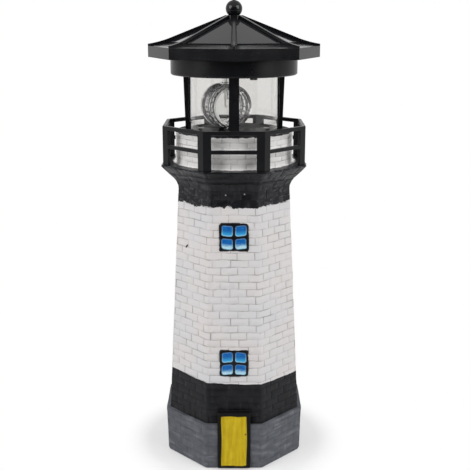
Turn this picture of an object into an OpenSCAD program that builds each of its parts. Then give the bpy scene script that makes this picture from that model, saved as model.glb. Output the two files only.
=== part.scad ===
// Garden lighthouse ornament with a solar roof and a turning beacon lens.
// Millimetres, +Z up, origin at the middle of the foot, front (door side) facing -Y.

/* [Tower casting] */
// Width across the flats of the plinth at its foot
plinth_foot_w = 108.4; // [100:0.2:114]
// Width across the flats of the plinth at its top edge
plinth_top_w = 110.2; // [106:0.2:116]
// Height of the plinth
plinth_h = 38.3; // [30:0.1:44]
// Rounding of the plinth's lower edge
foot_round = 2.2; // [1:0.1:4]
// Width across the flats of the shaft where it leaves the plinth
shaft_foot_w = 104.4; // [98:0.2:105]
// Width across the flats of the shaft under the corbel
shaft_neck_w = 86.0; // [82:0.2:92]
// Height of the shaft between the plinth and the corbel
shaft_h = 181.2; // [160:0.2:200]
// Radius of the cove that starts the corbel
cove_r = 12.0; // [8:0.5:16]
// How far the gallery ledge stands out past the railing
ledge_margin = 1.7; // [0.7:0.1:5]
// Height of the ledge's upright lip
ledge_lip = 1.7; // [1:0.1:4]
// Diameter of the brick drum inside the gallery
drum_d = 91.4; // [86:0.2:93]
// Height of the brick drum
drum_h = 23.8; // [20:0.2:26]
// Wall of the hollow casting
cast_wall = 5.0; // [3:0.5:7]
// Thickness of the casting under the lantern
deck_t = 7.0; // [6:0.5:10]
// Diameter of the pouring hole in the foot
pour_d = 12.0; // [8:0.5:20]

/* [Brickwork] */
// Height of a brick course on the plinth and the shaft
course_h = 5.72; // [5:0.01:7]
// Courses of smaller bricks round the drum
drum_courses = 6; // [4:1:8]
// Width of a bed joint
joint_w = 1.0; // [0.6:0.1:1.4]
// Depth of a bed joint
joint_deep = 0.5; // [0.3:0.1:0.8]

/* [Door and windows] */
// Width of the door leaf
door_w = 20.2; // [16:0.2:24]
// Top of the door leaf above the ground
door_top = 46.2; // [42:0.2:52]
// Doorstep height under the leaf
doorstep = 3.4; // [1.5:0.1:5]
// Width of the door frame's border
door_border = 2.8; // [1.5:0.1:4]
// How far the door frame stands proud of the plinth
door_proud = 0.9; // [0.4:0.1:2]
// Width over a window frame
window_w = 22.6; // [18:0.2:26]
// Height over a window frame
window_h = 21.8; // [18:0.2:26]
// Height of the lower window's middle above the ground
window_low_z = 88.2; // [80:0.2:100]
// Height between the middles of the two windows
window_pitch = 99.3; // [80:0.2:110]
// Border of a window frame
window_border = 2.2; // [1.5:0.1:3]
// Width of the cross bars between the panes
glazing_bar = 1.8; // [1:0.1:3]
// How far a window frame stands proud of the wall
window_proud = 0.7; // [0.3:0.1:1.5]
// Depth of the panes and the door leaf behind the frame's face
relief = 1.1; // [0.5:0.1:2]

/* [Gallery railing] */
// Width across the flats of the railing
rail_w = 107.6; // [106:0.2:109]
// Height of the railing above the ledge
rail_h = 29.5; // [26:0.5:34]
// Thickness of the railing's wall
rail_t = 2.6; // [2:0.1:2.8]
// Height of the top rail
top_rail_h = 3.0; // [2:0.1:5]
// Height of the middle rail
mid_rail_h = 2.7; // [2:0.1:4]
// Height of the middle rail's centre above the ledge
mid_rail_z = 14.2; // [12:0.2:17]
// Leg of a corner post on each side of its edge
post_leg = 5.9; // [4:0.1:8]

/* [Lantern] */
// Height between the drum's top and the collar
lantern_h = 42.5; // [38:0.5:50]
// Outside diameter of the glazing
glazing_d = 69.8; // [66:0.2:72]
// Wall of the glazing
glazing_t = 1.2; // [0.8:0.1:2]
// Width of a mullion
mullion_w = 7.5; // [5:0.1:9]
// Radial depth of a mullion at its foot
mullion_foot = 2.5; // [2.4:0.1:4]
// Radial depth of a mullion under the collar
mullion_head = 3.9; // [3:0.1:5]
// Diameter of the peg under each mullion
peg_d = 2.0; // [1.5:0.1:2.2]
// Length of the peg under each mullion
peg_l = 4.5; // [3:0.5:5.5]
// Diameter of the collar
collar_d = 96.8; // [94:0.2:100]
// Height of the collar's wall
collar_h = 13.6; // [12:0.1:16]
// Wall of the collar
collar_t = 2.0; // [1.6:0.1:2.4]
// Floor of the collar
floor_t = 2.0; // [1.6:0.1:3]
// Rounding of the collar's lower edge
collar_round = 1.5; // [0.5:0.1:1.9]
// Depth of the groove that holds the glazing's upper edge
glazing_groove = 1.0; // [0.5:0.1:1.2]

/* [Roof] */
// Width across the corners of the brim
roof_w = 130.8; // [128:0.2:136]
// Height of the brim's upright face
brim_h = 8.3; // [6:0.1:11]
// How far the brim hangs below the gasket's top
brim_drop = 1.7; // [1:0.1:3]
// Rise of the roof's facets from the eave strip to their apex
facet_rise = 20.0; // [16:0.2:24]
// Width across the flats where the facets meet the eave strip
facet_w = 93.8; // [90:0.2:100]
// Fall of the eave strip from the facets to the brim
eave_fall = 2.2; // [1:0.1:3]
// Height of the ribs above the facets
rib_h = 2.6; // [1.5:0.1:4]
// Thickness of a rib at the landing
rib_top_t = 2.6; // [2:0.1:3.4]
// Thickness of a rib at the eave
rib_eave_t = 1.3; // [1:0.1:2]
// Wall of the roof under the solar panels
roof_t = 2.0; // [1.6:0.1:3]
// Thickness of a solar panel
panel_t = 1.6; // [1:0.1:2.2]
// Length of the skirt that plugs into the collar
skirt_l = 4.6; // [3:0.2:6]
// Thickness of the skirt
skirt_t = 2.0; // [1.5:0.1:2.4]
// Thickness of the gasket between collar and roof
gasket_t = 1.0; // [0.6:0.1:1.6]
// Diameter of the landing where the ribs meet under the ball
landing_d = 13.2; // [11:0.2:16]
// Diameter of the finial ball
ball_d = 12.6; // [11:0.2:15]
// Diameter of the flat on which the ball sits
ball_flat_d = 8.2; // [6:0.2:9]
// Diameter of the small tip on the ball
tip_d = 2.4; // [1.5:0.1:4]

/* [Beacon] */
// Distance of the beacon's axis from the tower's axis, to the left of the door
beacon_off = 6.2; // [4:0.1:8]
// Diameter of the lens drum
lens_d = 33.2; // [30:0.2:34]
// Width of the lens drum over both lenses
lens_w = 22.6; // [18:0.2:26]
// Wall of the lens drum
lens_wall = 1.6; // [1.2:0.1:2]
// Thickness of a lens at its rim
lens_rim = 1.6; // [1.4:0.1:2.2]
// Radius of the smooth bull's eye in the middle of a lens
bull_r = 8.4; // [6:0.2:9.5]
// Number of prism rings round the bull's eye
prism_rings = 4; // [2:1:6]
// Turn of the lens at rest, away from the door
lens_yaw = 25; // [0:1:90]
// Outside diameter of the hub above the lens drum
hub_d = 6.4; // [5.6:0.1:7]
// Bore of the hub
hub_bore = 4.4; // [4.2:0.1:4.8]
// Radius of the foot plate under the lens
foot_plate_r = 28.7; // [27.5:0.1:31]
// Thickness of the foot plate
foot_plate_t = 1.5; // [1.2:0.1:2]
// Diameter of the steel pivot in the foot plate
pivot_d = 2.0; // [1.6:0.1:2.6]
// Distance between the two foot plate screws
foot_screw_pitch = 51.0; // [48:0.5:52]

/* [Drive] */
// Module of the gear teeth
gear_module = 0.5; // [0.4:0.05:0.5]
// Teeth of the beacon gear
gear_teeth = 48; // [40:2:52]
// Teeth of the motor pinion
pinion_teeth = 18; // [16:2:20]
// Face width of the gears
gear_t = 3.0; // [2:0.2:4]
// Thickness of the drive plate over the gears
drive_plate_t = 2.0; // [1.5:0.1:3]
// Diameter of the geared motor
motor_d = 15.0; // [12:0.5:16]
// Height of the geared motor
motor_h = 17.0; // [14:0.5:19]
// Diameter of the motor's shaft
shaft_d = 2.0; // [1.5:0.1:3]
// Outside diameter of the tube that holds the lamp
lamp_tube_d = 3.6; // [3.2:0.1:3.7]
// Diameter of the light-emitting diode
led_d = 3.0; // [2.6:0.1:3.1]

/* [Power] */
// Diameter of the rechargeable cell
cell_d = 14.2; // [13.5:0.1:14.5]
// Length of the rechargeable cell without its button
cell_l = 48.6; // [47:0.1:49.5]
// Distance of the cell's axis behind the tower's axis
cell_y = 25.0; // [24.6:0.1:26]
// Wall of the cell holder
holder_t = 1.4; // [1:0.1:1.8]
// Thickness of the contact plates
contact_t = 0.5; // [0.3:0.1:0.8]
// Thickness of the circuit board
board_t = 1.6; // [1:0.1:2]
// Height of the slide switch's body, which carries the board
switch_h = 4.0; // [3.4:0.1:5]
// Direction of the switch, to the right of the door
switch_az = 19.6; // [16:0.2:26]
// Distance of the switch from the tower's axis
switch_r = 42.4; // [41.5:0.1:42.6]
// Width of the switch knob along its travel
knob_w = 5.0; // [3:0.1:6]
// Travel of the switch knob
knob_travel = 3.0; // [2:0.1:4]
// How far the knob hangs below the collar
knob_drop = 1.5; // [1:0.1:2.5]

/* [Fits] */
// Radial gap of the turning fits
run_gap = 0.06; // [0.03:0.01:0.1]
// Gap between pieces that only lie side by side
side_gap = 0.3; // [0.2:0.05:0.5]
// Play along the axis of what turns
end_play = 0.2; // [0.1:0.05:0.4]

/* [Hidden] */
$fn = 96;

// Reach of cutters past the face that they cut
cut = 1;
half_corner = 22.5;

// Levels, from the ground up
ledge_w = rail_w + 2 * ledge_margin;
corbel_h = cove_r * sin(45) + (ledge_w - shaft_neck_w) / 2 - cove_r * (1 - cos(45));
z_neck = plinth_h + shaft_h;
z_ledge = z_neck + corbel_h + ledge_lip;
z_deck = z_ledge + drum_h;
z_collar = z_deck + lantern_h;
z_floor = z_collar + floor_t;
z_rim = z_collar + collar_h;
z_seat = z_rim + gasket_t;
z_brim = z_seat - brim_drop;
z_eave = z_brim + brim_h;
z_facet = z_eave + eave_fall;
z_apex = z_facet + facet_rise;

// Tower
shaft_taper = atan((shaft_foot_w - shaft_neck_w) / 2 / shaft_h);
plinth_flare = atan((plinth_top_w - plinth_foot_w) / 2 / (plinth_h - foot_round));
pour_flange_d = pour_d + 7;
pour_flange_t = 1.6;
pour_recess = 0.6;
plug_step = 2;

// Lantern
glazing_r = glazing_d / 2;
mullion_in = glazing_r + 0.1;
groove_out = glazing_r + 0.05;
groove_in = glazing_r - glazing_t - 0.1;
peg_r = mullion_in + mullion_foot / 2;
collar_in = collar_d / 2 - collar_t;
skirt_out = collar_in - side_gap - 0.1;
skirt_in = skirt_out - skirt_t;

// Roof: slope of the facets, and their planes measured on the tower's axis
roof_flat = roof_w / 2 * cos(half_corner);
facet_slope = facet_rise / (facet_w / 2);
facet_tilt = atan(facet_slope);
inner_apex = z_apex - (panel_t + roof_t) / cos(facet_tilt);
inner_eave = z_eave - roof_t;
rib_apex = z_apex + rib_h / cos(facet_tilt);
rib_slope = facet_slope * cos(half_corner);
rib_flare_r = roof_w / 2 * 0.72;
rib_tip_h = 1.5;
rib_steps = 8;
z_rib_head = rib_apex - rib_slope * landing_d / 2;
z_landing = z_rib_head + 0.05;
ball_z = z_landing + sqrt(pow(ball_d / 2, 2) - pow(ball_flat_d / 2, 2));
tip_h = 0.4;
spigot_d = 4;
spigot_l = 5;

// Beacon
z_lens = z_deck + foot_plate_t + side_gap * 2 + lens_d / 2;
drum_len = lens_w - 2 * lens_rim;
gear_pitch_r = gear_module * gear_teeth / 2;
pinion_pitch_r = gear_module * pinion_teeth / 2;
axis_gap = gear_pitch_r + pinion_pitch_r;
motor_x = axis_gap - beacon_off;
bearing_h = 1.2;
z_gear = z_floor + bearing_h + end_play;
z_plate = z_gear + gear_t + 1;
z_motor = z_plate + drive_plate_t;
screw_head_d = 4.4;
screw_head_h = 1.1;
screw_d = 2.2;
screw_l = 5;
prism_depth = 0.7;
bull_rise = 0.8;
lens_base = lens_rim - prism_depth;

// Drive plate posts: left of the gear, and either side of the motor
post_r = 2.3;
plate_posts = [
    [-beacon_off - gear_pitch_r - gear_module - post_r - 1, 0],
    [motor_x + motor_d / 2 - 0.5, motor_d / 2 + 1.5],
    [motor_x + motor_d / 2 - 0.5, -motor_d / 2 - 1.5]
];

// Circuit board and switch
z_board = z_floor + switch_h;
board_r = skirt_in - side_gap - 0.2;
board_edge = max(plate_posts[1][1] + post_r, gear_pitch_r + gear_module) + 1;
board_half = 22;
left_post_x = -15;
right_post_x = 8;
board_post_in = 5;
board_posts = [
    [left_post_x, -board_edge - board_post_in],
    [right_post_x, -board_edge - board_post_in]
];
chip_x = -12;
chip_in = 16;
chip_l = 8;
chip_w = 6;
chip_h = 1.6;
capacitor_x = 2;
capacitor_in = 14;
capacitor_d = 5;
capacitor_h = 6;
coil_x = 15.5;
coil_in = 6;
coil_d = 6;
coil_h = 3.2;
resistor_x = -4;
resistor_pitch = 6;
resistor_in = 8;
resistor_l = 3.2;
resistor_w = 1.6;
resistor_h = 1;
board_screw_head_d = 3.8;
board_screw_head_h = 1.2;
board_screw_l = 4.5;
switch_len = knob_w + knob_travel + 3.6;
switch_deep = 4.6;
knob_deep = 2.0;

// Cell holder
cell_seat = z_floor + holder_t;
cell_z = cell_seat + cell_d / 2;
button_l = 1.4;
button_d = 5.4;
holder_in_l = cell_l + button_l + 2 * contact_t + 0.4;
holder_in_w = cell_d + 0.6;
holder_h = cell_d * 0.7;

// A solid whose level slices are regular octagons with flats facing the axes.
// outline: points of half width across the flats and height, from the foot up.
module octagon_solid(outline) {
    foot = outline[0];
    head = outline[len(outline) - 1];
    rotate([0, 0, half_corner])
        rotate_extrude($fn = 8)
            polygon(concat(
                [[0, foot[1]]],
                [for (p = outline) [p[0] / cos(half_corner), p[1]]],
                [[0, head[1]]]
            ));
}

module octagon_prism(half, low, high) {
    translate([0, 0, low])
        rotate([0, 0, half_corner])
            cylinder(h = high - low, r = half / cos(half_corner), $fn = 8);
}

module ring(inner, outer, low, high) {
    translate([0, 0, low])
        difference() {
            cylinder(h = high - low, r = outer);
            translate([0, 0, -cut]) cylinder(h = high - low + 2 * cut, r = inner);
        }
}

// Pan-head screw with its head's underside at the origin, pointing down
module screw(head_d, head_h, d, l) {
    cylinder(h = head_h, d = head_d);
    translate([0, 0, -l]) cylinder(h = l, d = d);
}

// Half width of the shaft across its flats at a height
function shaft_half(z) = shaft_foot_w / 2 - (z - plinth_h) * tan(shaft_taper);

// ---- Tower casting -------------------------------------------------------

function cove_points(steps) = [
    for (i = [0:steps])
        let (a = 45 * i / steps)
            [shaft_neck_w / 2 + cove_r * (1 - cos(a)), z_neck + cove_r * sin(a)]
];

// A bed joint's V across a wall that leans inwards by an angle: half width and height
function bed_joint(half, z, lean) = [
    [half + joint_w / 2 * tan(lean), z - joint_w / 2],
    [half - joint_deep, z],
    [half - joint_w / 2 * tan(lean), z + joint_w / 2]
];

// Half width of the plinth across its flats at a height
function plinth_half(z) = plinth_foot_w / 2 + (z - foot_round) * tan(plinth_flare);

function plinth_joints() = [
    for (z = [course_h : course_h : plinth_h - joint_w])
        each bed_joint(plinth_half(z), z, -plinth_flare)
];

function shaft_joints() = [
    for (z = [plinth_h + course_h : course_h : z_neck - joint_w])
        each bed_joint(shaft_half(z), z, shaft_taper)
];

// The corbel slopes at 45 degrees, with one joint half way up
function corbel_joint() =
    let (
        cove_end = cove_points(6)[6],
        middle = (cove_end + [ledge_w / 2, z_ledge - ledge_lip]) / 2,
        along = joint_w / 2 * sin(45) * [1, 1],
        inwards = joint_deep * sin(45) * [-1, 1]
    )
        [middle - along, middle + inwards, middle + along];

module tower_body() {
    octagon_solid(concat(
        [
            [plinth_foot_w / 2 - foot_round, 0],
            [plinth_foot_w / 2 - foot_round * 0.3, foot_round * 0.3],
            [plinth_foot_w / 2, foot_round]
        ],
        plinth_joints(),
        [
            [plinth_top_w / 2, plinth_h],
            [shaft_foot_w / 2, plinth_h]
        ],
        shaft_joints(),
        cove_points(6),
        corbel_joint(),
        [
            [ledge_w / 2, z_ledge - ledge_lip],
            [ledge_w / 2, z_ledge]
        ]
    ));
}

module brick_drum() {
    drum_r = drum_d / 2;
    drum_course_h = drum_h / drum_courses;
    rotate_extrude()
        polygon(concat(
            [[0, z_ledge - cut], [drum_r, z_ledge - cut]],
            [
                for (k = [1:drum_courses - 1])
                    each bed_joint(drum_r, z_ledge + k * drum_course_h, 0)
            ],
            [[drum_r, z_deck], [0, z_deck]]
        ));
}

module door_surround() {
    half = door_w / 2 + door_border;
    front = plinth_top_w / 2 + door_proud;
    back = shaft_half(door_top) - cut;
    translate([-half, -front, 0]) cube([2 * half, front - back, door_top + door_border]);
}

module door_leaf_cut() {
    front = plinth_top_w / 2 + door_proud;
    translate([-door_w / 2, -front - cut, doorstep]) cube([door_w, relief + cut, door_top - doorstep]);
}

module on_wall(z) {
    translate([0, -shaft_half(z), z]) rotate([-shaft_taper, 0, 0]) children();
}

module window_surround() {
    translate([-window_w / 2, -window_proud, -window_h / 2])
        cube([window_w, window_proud + cut, window_h]);
}

module window_pane_cuts() {
    pane_w = (window_w - 2 * window_border - glazing_bar) / 2;
    pane_h = (window_h - 2 * window_border - glazing_bar) / 2;
    for (sx = [-1, 1])
        for (sz = [-1, 1])
            translate([
                sx * (pane_w + glazing_bar) / 2 - pane_w / 2,
                -window_proud - cut,
                sz * (pane_h + glazing_bar) / 2 - pane_h / 2
            ])
                cube([pane_w, relief + cut, pane_h]);
}

module tower_hollow() {
    octagon_solid([
        [shaft_half(plinth_h) - cast_wall, cast_wall],
        [shaft_half(plinth_h) - cast_wall, plinth_h],
        [shaft_neck_w / 2 - cast_wall, z_neck],
        [shaft_neck_w / 2 - cast_wall, z_deck - deck_t]
    ]);
}

module tower_casting() {
    color("whitesmoke")
        difference() {
            union() {
                tower_body();
                brick_drum();
                door_surround();
                for (i = [0, 1]) on_wall(window_low_z + i * window_pitch) window_surround();
            }
            door_leaf_cut();
            for (i = [0, 1]) on_wall(window_low_z + i * window_pitch) window_pane_cuts();
            tower_hollow();
            translate([0, 0, -cut]) cylinder(h = cast_wall + 2 * cut, d = pour_d);
            translate([0, 0, -cut])
                cylinder(h = pour_flange_t + pour_recess + cut, d = pour_flange_d + 1);
            for (i = [0:3])
                rotate([0, 0, 90 * i])
                    translate([peg_r, 0, z_deck - peg_l - side_gap])
                        cylinder(h = peg_l + side_gap + cut, d = peg_d + 0.2);
            for (s = [-1, 1])
                translate([s * foot_screw_pitch / 2, 0, z_deck - screw_l])
                    cylinder(h = screw_l + cut, d = screw_d);
        }
}

module pour_plug() {
    color("dimgray")
        translate([0, 0, pour_recess]) {
            cylinder(h = pour_flange_t, d = pour_flange_d);
            cylinder(h = cast_wall - pour_recess + plug_step, d = pour_d - 0.1);
            translate([0, 0, cast_wall - pour_recess + side_gap])
                cylinder(h = plug_step, d1 = pour_d + 1.2, d2 = pour_d - 2);
        }
}

// ---- Gallery railing -----------------------------------------------------

module gallery_railing() {
    side = rail_w * tan(half_corner);
    gap_w = side - 2 * post_leg;
    mid_low = z_ledge + mid_rail_z - mid_rail_h / 2;
    mid_high = mid_low + mid_rail_h;
    top_low = z_ledge + rail_h - top_rail_h;
    color("#26282b")
        difference() {
            octagon_prism(rail_w / 2, z_ledge, z_ledge + rail_h);
            octagon_prism(rail_w / 2 - rail_t, z_ledge - cut, z_ledge + rail_h + cut);
            for (i = [0:7])
                rotate([0, 0, 45 * i]) {
                    translate([-gap_w / 2, -rail_w / 2 - cut, z_ledge - cut])
                        cube([gap_w, rail_t + 2 * cut, mid_low - z_ledge + cut]);
                    translate([-gap_w / 2, -rail_w / 2 - cut, mid_high])
                        cube([gap_w, rail_t + 2 * cut, top_low - mid_high]);
                }
        }
}

// ---- Lantern -------------------------------------------------------------

module mullion() {
    intersection() {
        rotate_extrude()
            polygon([
                [mullion_in, z_deck],
                [mullion_in + mullion_foot, z_deck],
                [mullion_in + mullion_head, z_floor],
                [mullion_in, z_floor]
            ]);
        translate([0, -mullion_w / 2, z_deck - cut])
            cube([glazing_d, mullion_w, lantern_h + floor_t + 2 * cut]);
    }
    translate([peg_r, 0, z_deck - peg_l]) cylinder(h = peg_l + cut, d = peg_d);
}

module collar_cup() {
    out = collar_d / 2;
    rounding = [
        for (a = [0:22.5:90])
            [out - collar_round * (1 - sin(a)), z_collar + collar_round * (1 - cos(a))]
    ];
    rotate_extrude()
        polygon(concat(
            [[0, z_collar]],
            rounding,
            [[out, z_rim], [collar_in, z_rim], [collar_in, z_floor], [0, z_floor]]
        ));
}

module switch_frame() {
    rotate([0, 0, switch_az]) translate([0, -switch_r, 0]) children();
}

module lantern_cage() {
    color("#1d1f22")
        difference() {
            union() {
                collar_cup();
                for (i = [0:3]) rotate([0, 0, 90 * i]) mullion();
                translate([-beacon_off, 0, z_floor - 0.5])
                    cylinder(h = bearing_h + 0.5, d = hub_d + 3.2);
                for (p = plate_posts)
                    translate([p[0], p[1], z_floor - 0.5])
                        cylinder(h = z_plate - z_floor + 0.5, r = post_r);
                for (p = board_posts)
                    translate([p[0], p[1], z_floor - 0.5])
                        cylinder(h = switch_h + 0.5, r = post_r - 0.3);
            }
            ring(groove_in, groove_out, z_collar - cut, z_collar + glazing_groove);
            translate([-beacon_off, 0, z_collar - cut])
                cylinder(h = floor_t + bearing_h + 2 * cut, r = hub_d / 2 + run_gap);
            for (p = plate_posts)
                translate([p[0], p[1], z_plate - screw_l + drive_plate_t])
                    cylinder(h = screw_l, d = screw_d);
            for (p = board_posts)
                translate([p[0], p[1], z_board - screw_l + board_t])
                    cylinder(h = screw_l, d = screw_d);
            switch_frame()
                translate([-knob_w / 2 - side_gap, -knob_deep / 2 - side_gap, z_collar - cut])
                    cube([
                        knob_w + knob_travel + 2 * side_gap,
                        knob_deep + 2 * side_gap,
                        floor_t + 2 * cut
                    ]);
        }
}

module glazing_tube() {
    color("#dfe3e6", 0.35)
        ring(glazing_r - glazing_t, glazing_r, z_deck, z_collar + glazing_groove);
}

// ---- Beacon --------------------------------------------------------------

module lens_foot_plate() {
    color("#242629")
        difference() {
            translate([0, 0, z_deck]) cylinder(h = foot_plate_t, r = foot_plate_r);
            translate([-beacon_off, 0, z_deck - cut]) cylinder(h = foot_plate_t + 2 * cut, d = pivot_d);
            for (s = [-1, 1])
                translate([s * foot_screw_pitch / 2, 0, 0]) {
                    translate([0, 0, z_deck - cut])
                        cylinder(h = foot_plate_t + 2 * cut, d = screw_d + 0.2);
                    translate([0, 0, z_deck + foot_plate_t - screw_head_h])
                        cylinder(h = screw_head_h + cut, d = screw_head_d + 0.4);
                }
        }
}

module foot_plate_screws() {
    color("silver")
        for (s = [-1, 1])
            translate([s * foot_screw_pitch / 2, 0, z_deck + foot_plate_t - screw_head_h])
                screw(screw_head_d, screw_head_h, screw_d, screw_l - 1);
}

module lens_pivot() {
    color("silver")
        translate([-beacon_off, 0, z_deck])
            cylinder(h = foot_plate_t + 2 * side_gap + lens_wall, d = pivot_d);
}

// Frame of the lens drum: local Z runs along the drum's axis, out of its front
module drum_frame() {
    translate([-beacon_off, 0, z_lens]) rotate([0, 0, lens_yaw]) rotate([90, 0, 0]) children();
}

module lens_drum() {
    hub_low = z_lens + lens_d / 2 - lens_wall;
    color("#e6eaec", 0.5)
        difference() {
            union() {
                drum_frame() cylinder(h = drum_len, d = lens_d, center = true);
                translate([-beacon_off, 0, hub_low])
                    cylinder(h = z_gear + gear_t - hub_low, d = hub_d);
                translate([-beacon_off, 0, z_lens + lens_d / 2 - 0.8])
                    cylinder(h = 2.0, d = hub_d + 2.4);
            }
            drum_frame() cylinder(h = drum_len + 2 * cut, d = lens_d - 2 * lens_wall, center = true);
            translate([-beacon_off, 0, hub_low - cut])
                cylinder(h = z_gear + gear_t - hub_low + 2 * cut, d = hub_bore);
            translate([-beacon_off, 0, z_lens - lens_d / 2 - cut])
                cylinder(h = lens_wall + 2 * cut, r = pivot_d / 2 + run_gap);
        }
}

// Section of a bull's-eye lens: flat back, stepped prism rings, domed middle, rim.
// Each ring rises towards the rim and drops back square, as a stepped lens does.
module lens_section() {
    rim_in = lens_d / 2 - lens_wall;
    step = (rim_in - bull_r) / prism_rings;
    dome = [
        for (i = [0:6])
            let (a = i / 6)
                [bull_r * a, lens_base + bull_rise * (1 - a * a)]
    ];
    prisms = [
        for (k = [0:prism_rings - 1])
            for (e = [[0, prism_depth], [1, 0]])
                [bull_r + step * (k + e[0]), lens_base + e[1]]
    ];
    polygon(concat(
        [[0, 0]],
        dome,
        prisms,
        [[rim_in, lens_rim], [lens_d / 2, lens_rim], [lens_d / 2, 0]]
    ));
}

module lens() {
    rotate_extrude() lens_section();
}

module front_lens() {
    color("#eef2f4", 0.5) drum_frame() translate([0, 0, drum_len / 2]) lens();
}

module rear_lens() {
    color("#eef2f4", 0.5) drum_frame() mirror([0, 0, 1]) translate([0, 0, drum_len / 2]) lens();
}

// ---- Gear train ----------------------------------------------------------

// Point of the involute of a base circle, unrolled by an angle in degrees
function involute(base, a) = [
    base * (cos(a) + a * PI / 180 * sin(a)),
    base * (sin(a) - a * PI / 180 * cos(a))
];

function polar(r, a) = [r * cos(a), r * sin(a)];

// Unroll angle at which an involute reaches a radius
function unroll(base, r) = sqrt(max(0, pow(r / base, 2) - 1)) * 180 / PI;

// Outline of one tooth from its left root to its right root, centred on angle 0
function tooth(teeth, slack) =
    let (
        pitch = gear_module * teeth / 2,
        base = pitch * cos(20),
        tip = pitch + gear_module * 0.95,
        root = pitch - gear_module * 1.2,
        at_pitch = involute(base, unroll(base, pitch)),
        lean = atan2(at_pitch[1], at_pitch[0]),
        half = 90 / teeth - slack / pitch * 180 / PI / 2,
        steps = 4,
        low = max(base, root),
        flank = [
            for (i = [0:steps])
                let (p = involute(base, unroll(base, low + (tip - low) * i / steps)))
                    [norm(p), atan2(p[1], p[0]) - lean - half]
        ]
    )
    concat(
        [polar(root, flank[0][1])],
        [for (f = flank) polar(f[0], f[1])],
        [for (i = [steps:-1:0]) polar(flank[i][0], -flank[i][1])],
        [polar(root, -flank[0][1])]
    );

function turned(points, a) = [
    for (p = points) [p[0] * cos(a) - p[1] * sin(a), p[0] * sin(a) + p[1] * cos(a)]
];

module gear(teeth, thickness, bore) {
    tooth_gap = 0.08;
    linear_extrude(height = thickness)
        difference() {
            polygon([
                for (i = [0:teeth - 1])
                    for (p = turned(tooth(teeth, tooth_gap), 360 * i / teeth)) p
            ]);
            circle(d = bore);
        }
}

module beacon_gear() {
    spoke_out = gear_pitch_r - 2.4;
    spoke_in = hub_d / 2 + 2;
    color("ivory")
        translate([-beacon_off, 0, z_gear])
            difference() {
                gear(gear_teeth, gear_t, hub_d);
                for (i = [0:5])
                    rotate([0, 0, 60 * i + 30])
                        translate([(spoke_out + spoke_in) / 2, 0, -cut])
                            cylinder(h = gear_t + 2 * cut, r = (spoke_out - spoke_in) / 2);
            }
}

module motor_pinion() {
    color("ivory")
        translate([motor_x, 0, z_gear])
            rotate([0, 0, 180 / pinion_teeth])
                gear(pinion_teeth, gear_t, shaft_d);
}

module motor_shaft() {
    color("silver")
        translate([motor_x, 0, z_gear]) cylinder(h = z_motor + 3 - z_gear, d = shaft_d);
}

module geared_motor() {
    boss_d = shaft_d + 4;
    color("lightgray")
        difference() {
            union() {
                translate([motor_x, 0, z_motor]) cylinder(h = motor_h, d = motor_d);
                translate([motor_x, 0, z_motor + motor_h - 0.2]) cylinder(h = 1.4, d = boss_d);
                for (s = [-1, 1])
                    translate([motor_x - 1, s * 4 - 0.3, z_motor + motor_h - 0.2])
                        cube([2, 0.6, 3]);
            }
            translate([motor_x, 0, z_motor - cut])
                cylinder(h = 3 + end_play + cut, r = shaft_d / 2 + run_gap);
        }
}

module drive_plate() {
    first = plate_posts[0];
    left = [-beacon_off, 0];
    rise = plate_posts[1][1];
    right = plate_posts[1][0];
    color("#3a3d40")
        translate([0, 0, z_plate])
            difference() {
                linear_extrude(height = drive_plate_t)
                    union() {
                        polygon([
                            [first[0], -post_r], [right, -rise - post_r],
                            [right, rise + post_r], [first[0], post_r]
                        ]);
                        translate(first) circle(r = post_r);
                        translate(left) circle(r = hub_d);
                        for (s = [-1, 1]) translate([right, s * rise]) circle(r = post_r);
                        translate([right, -rise]) square([post_r, 2 * rise]);
                    }
                translate([-beacon_off, 0, -cut])
                    cylinder(h = drive_plate_t + 2 * cut, d = lamp_tube_d);
                translate([motor_x, 0, -cut])
                    cylinder(h = drive_plate_t + 2 * cut, r = shaft_d / 2 + side_gap);
                for (p = plate_posts)
                    translate([p[0], p[1], -cut])
                        cylinder(h = drive_plate_t + 2 * cut, d = screw_d + 0.2);
            }
}

module drive_plate_screws() {
    color("silver")
        for (p = plate_posts)
            translate([p[0], p[1], z_motor]) screw(screw_head_d - 0.4, 1.4, screw_d, screw_l - 0.5);
}

// ---- Lamp ----------------------------------------------------------------

module lamp_tube() {
    flange_d = lamp_tube_d + 3;
    color("whitesmoke")
        difference() {
            union() {
                translate([-beacon_off, 0, z_lens + 5])
                    cylinder(h = z_motor - z_lens - 5 + 1, d = lamp_tube_d);
                translate([-beacon_off, 0, z_motor]) cylinder(h = 1, d = flange_d);
            }
            translate([-beacon_off, 0, z_lens + 5 - cut])
                cylinder(h = z_motor - z_lens + 2 * cut, d = lamp_tube_d - 1.2);
        }
}

module beacon_led() {
    color("lightyellow")
        translate([-beacon_off, 0, z_lens]) {
            sphere(d = led_d);
            cylinder(h = 4, d = led_d);
            translate([0, 0, 4]) cylinder(h = 1, d = led_d + 0.6);
            for (s = [-1, 1]) translate([s * 0.6, 0, 5]) cylinder(h = z_motor - z_lens - 3, d = 0.4);
        }
}

// ---- Circuit board and switch ---------------------------------------------

module circuit_board() {
    color("darkgreen")
        translate([0, 0, z_board])
            difference() {
                intersection() {
                    cylinder(h = board_t, r = board_r);
                    translate([-board_half, -board_r, -cut])
                        cube([2 * board_half, board_r - board_edge, board_t + 2 * cut]);
                }
                for (p = board_posts)
                    translate([p[0], p[1], -cut]) cylinder(h = board_t + 2 * cut, d = screw_d + 0.2);
            }
}

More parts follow.
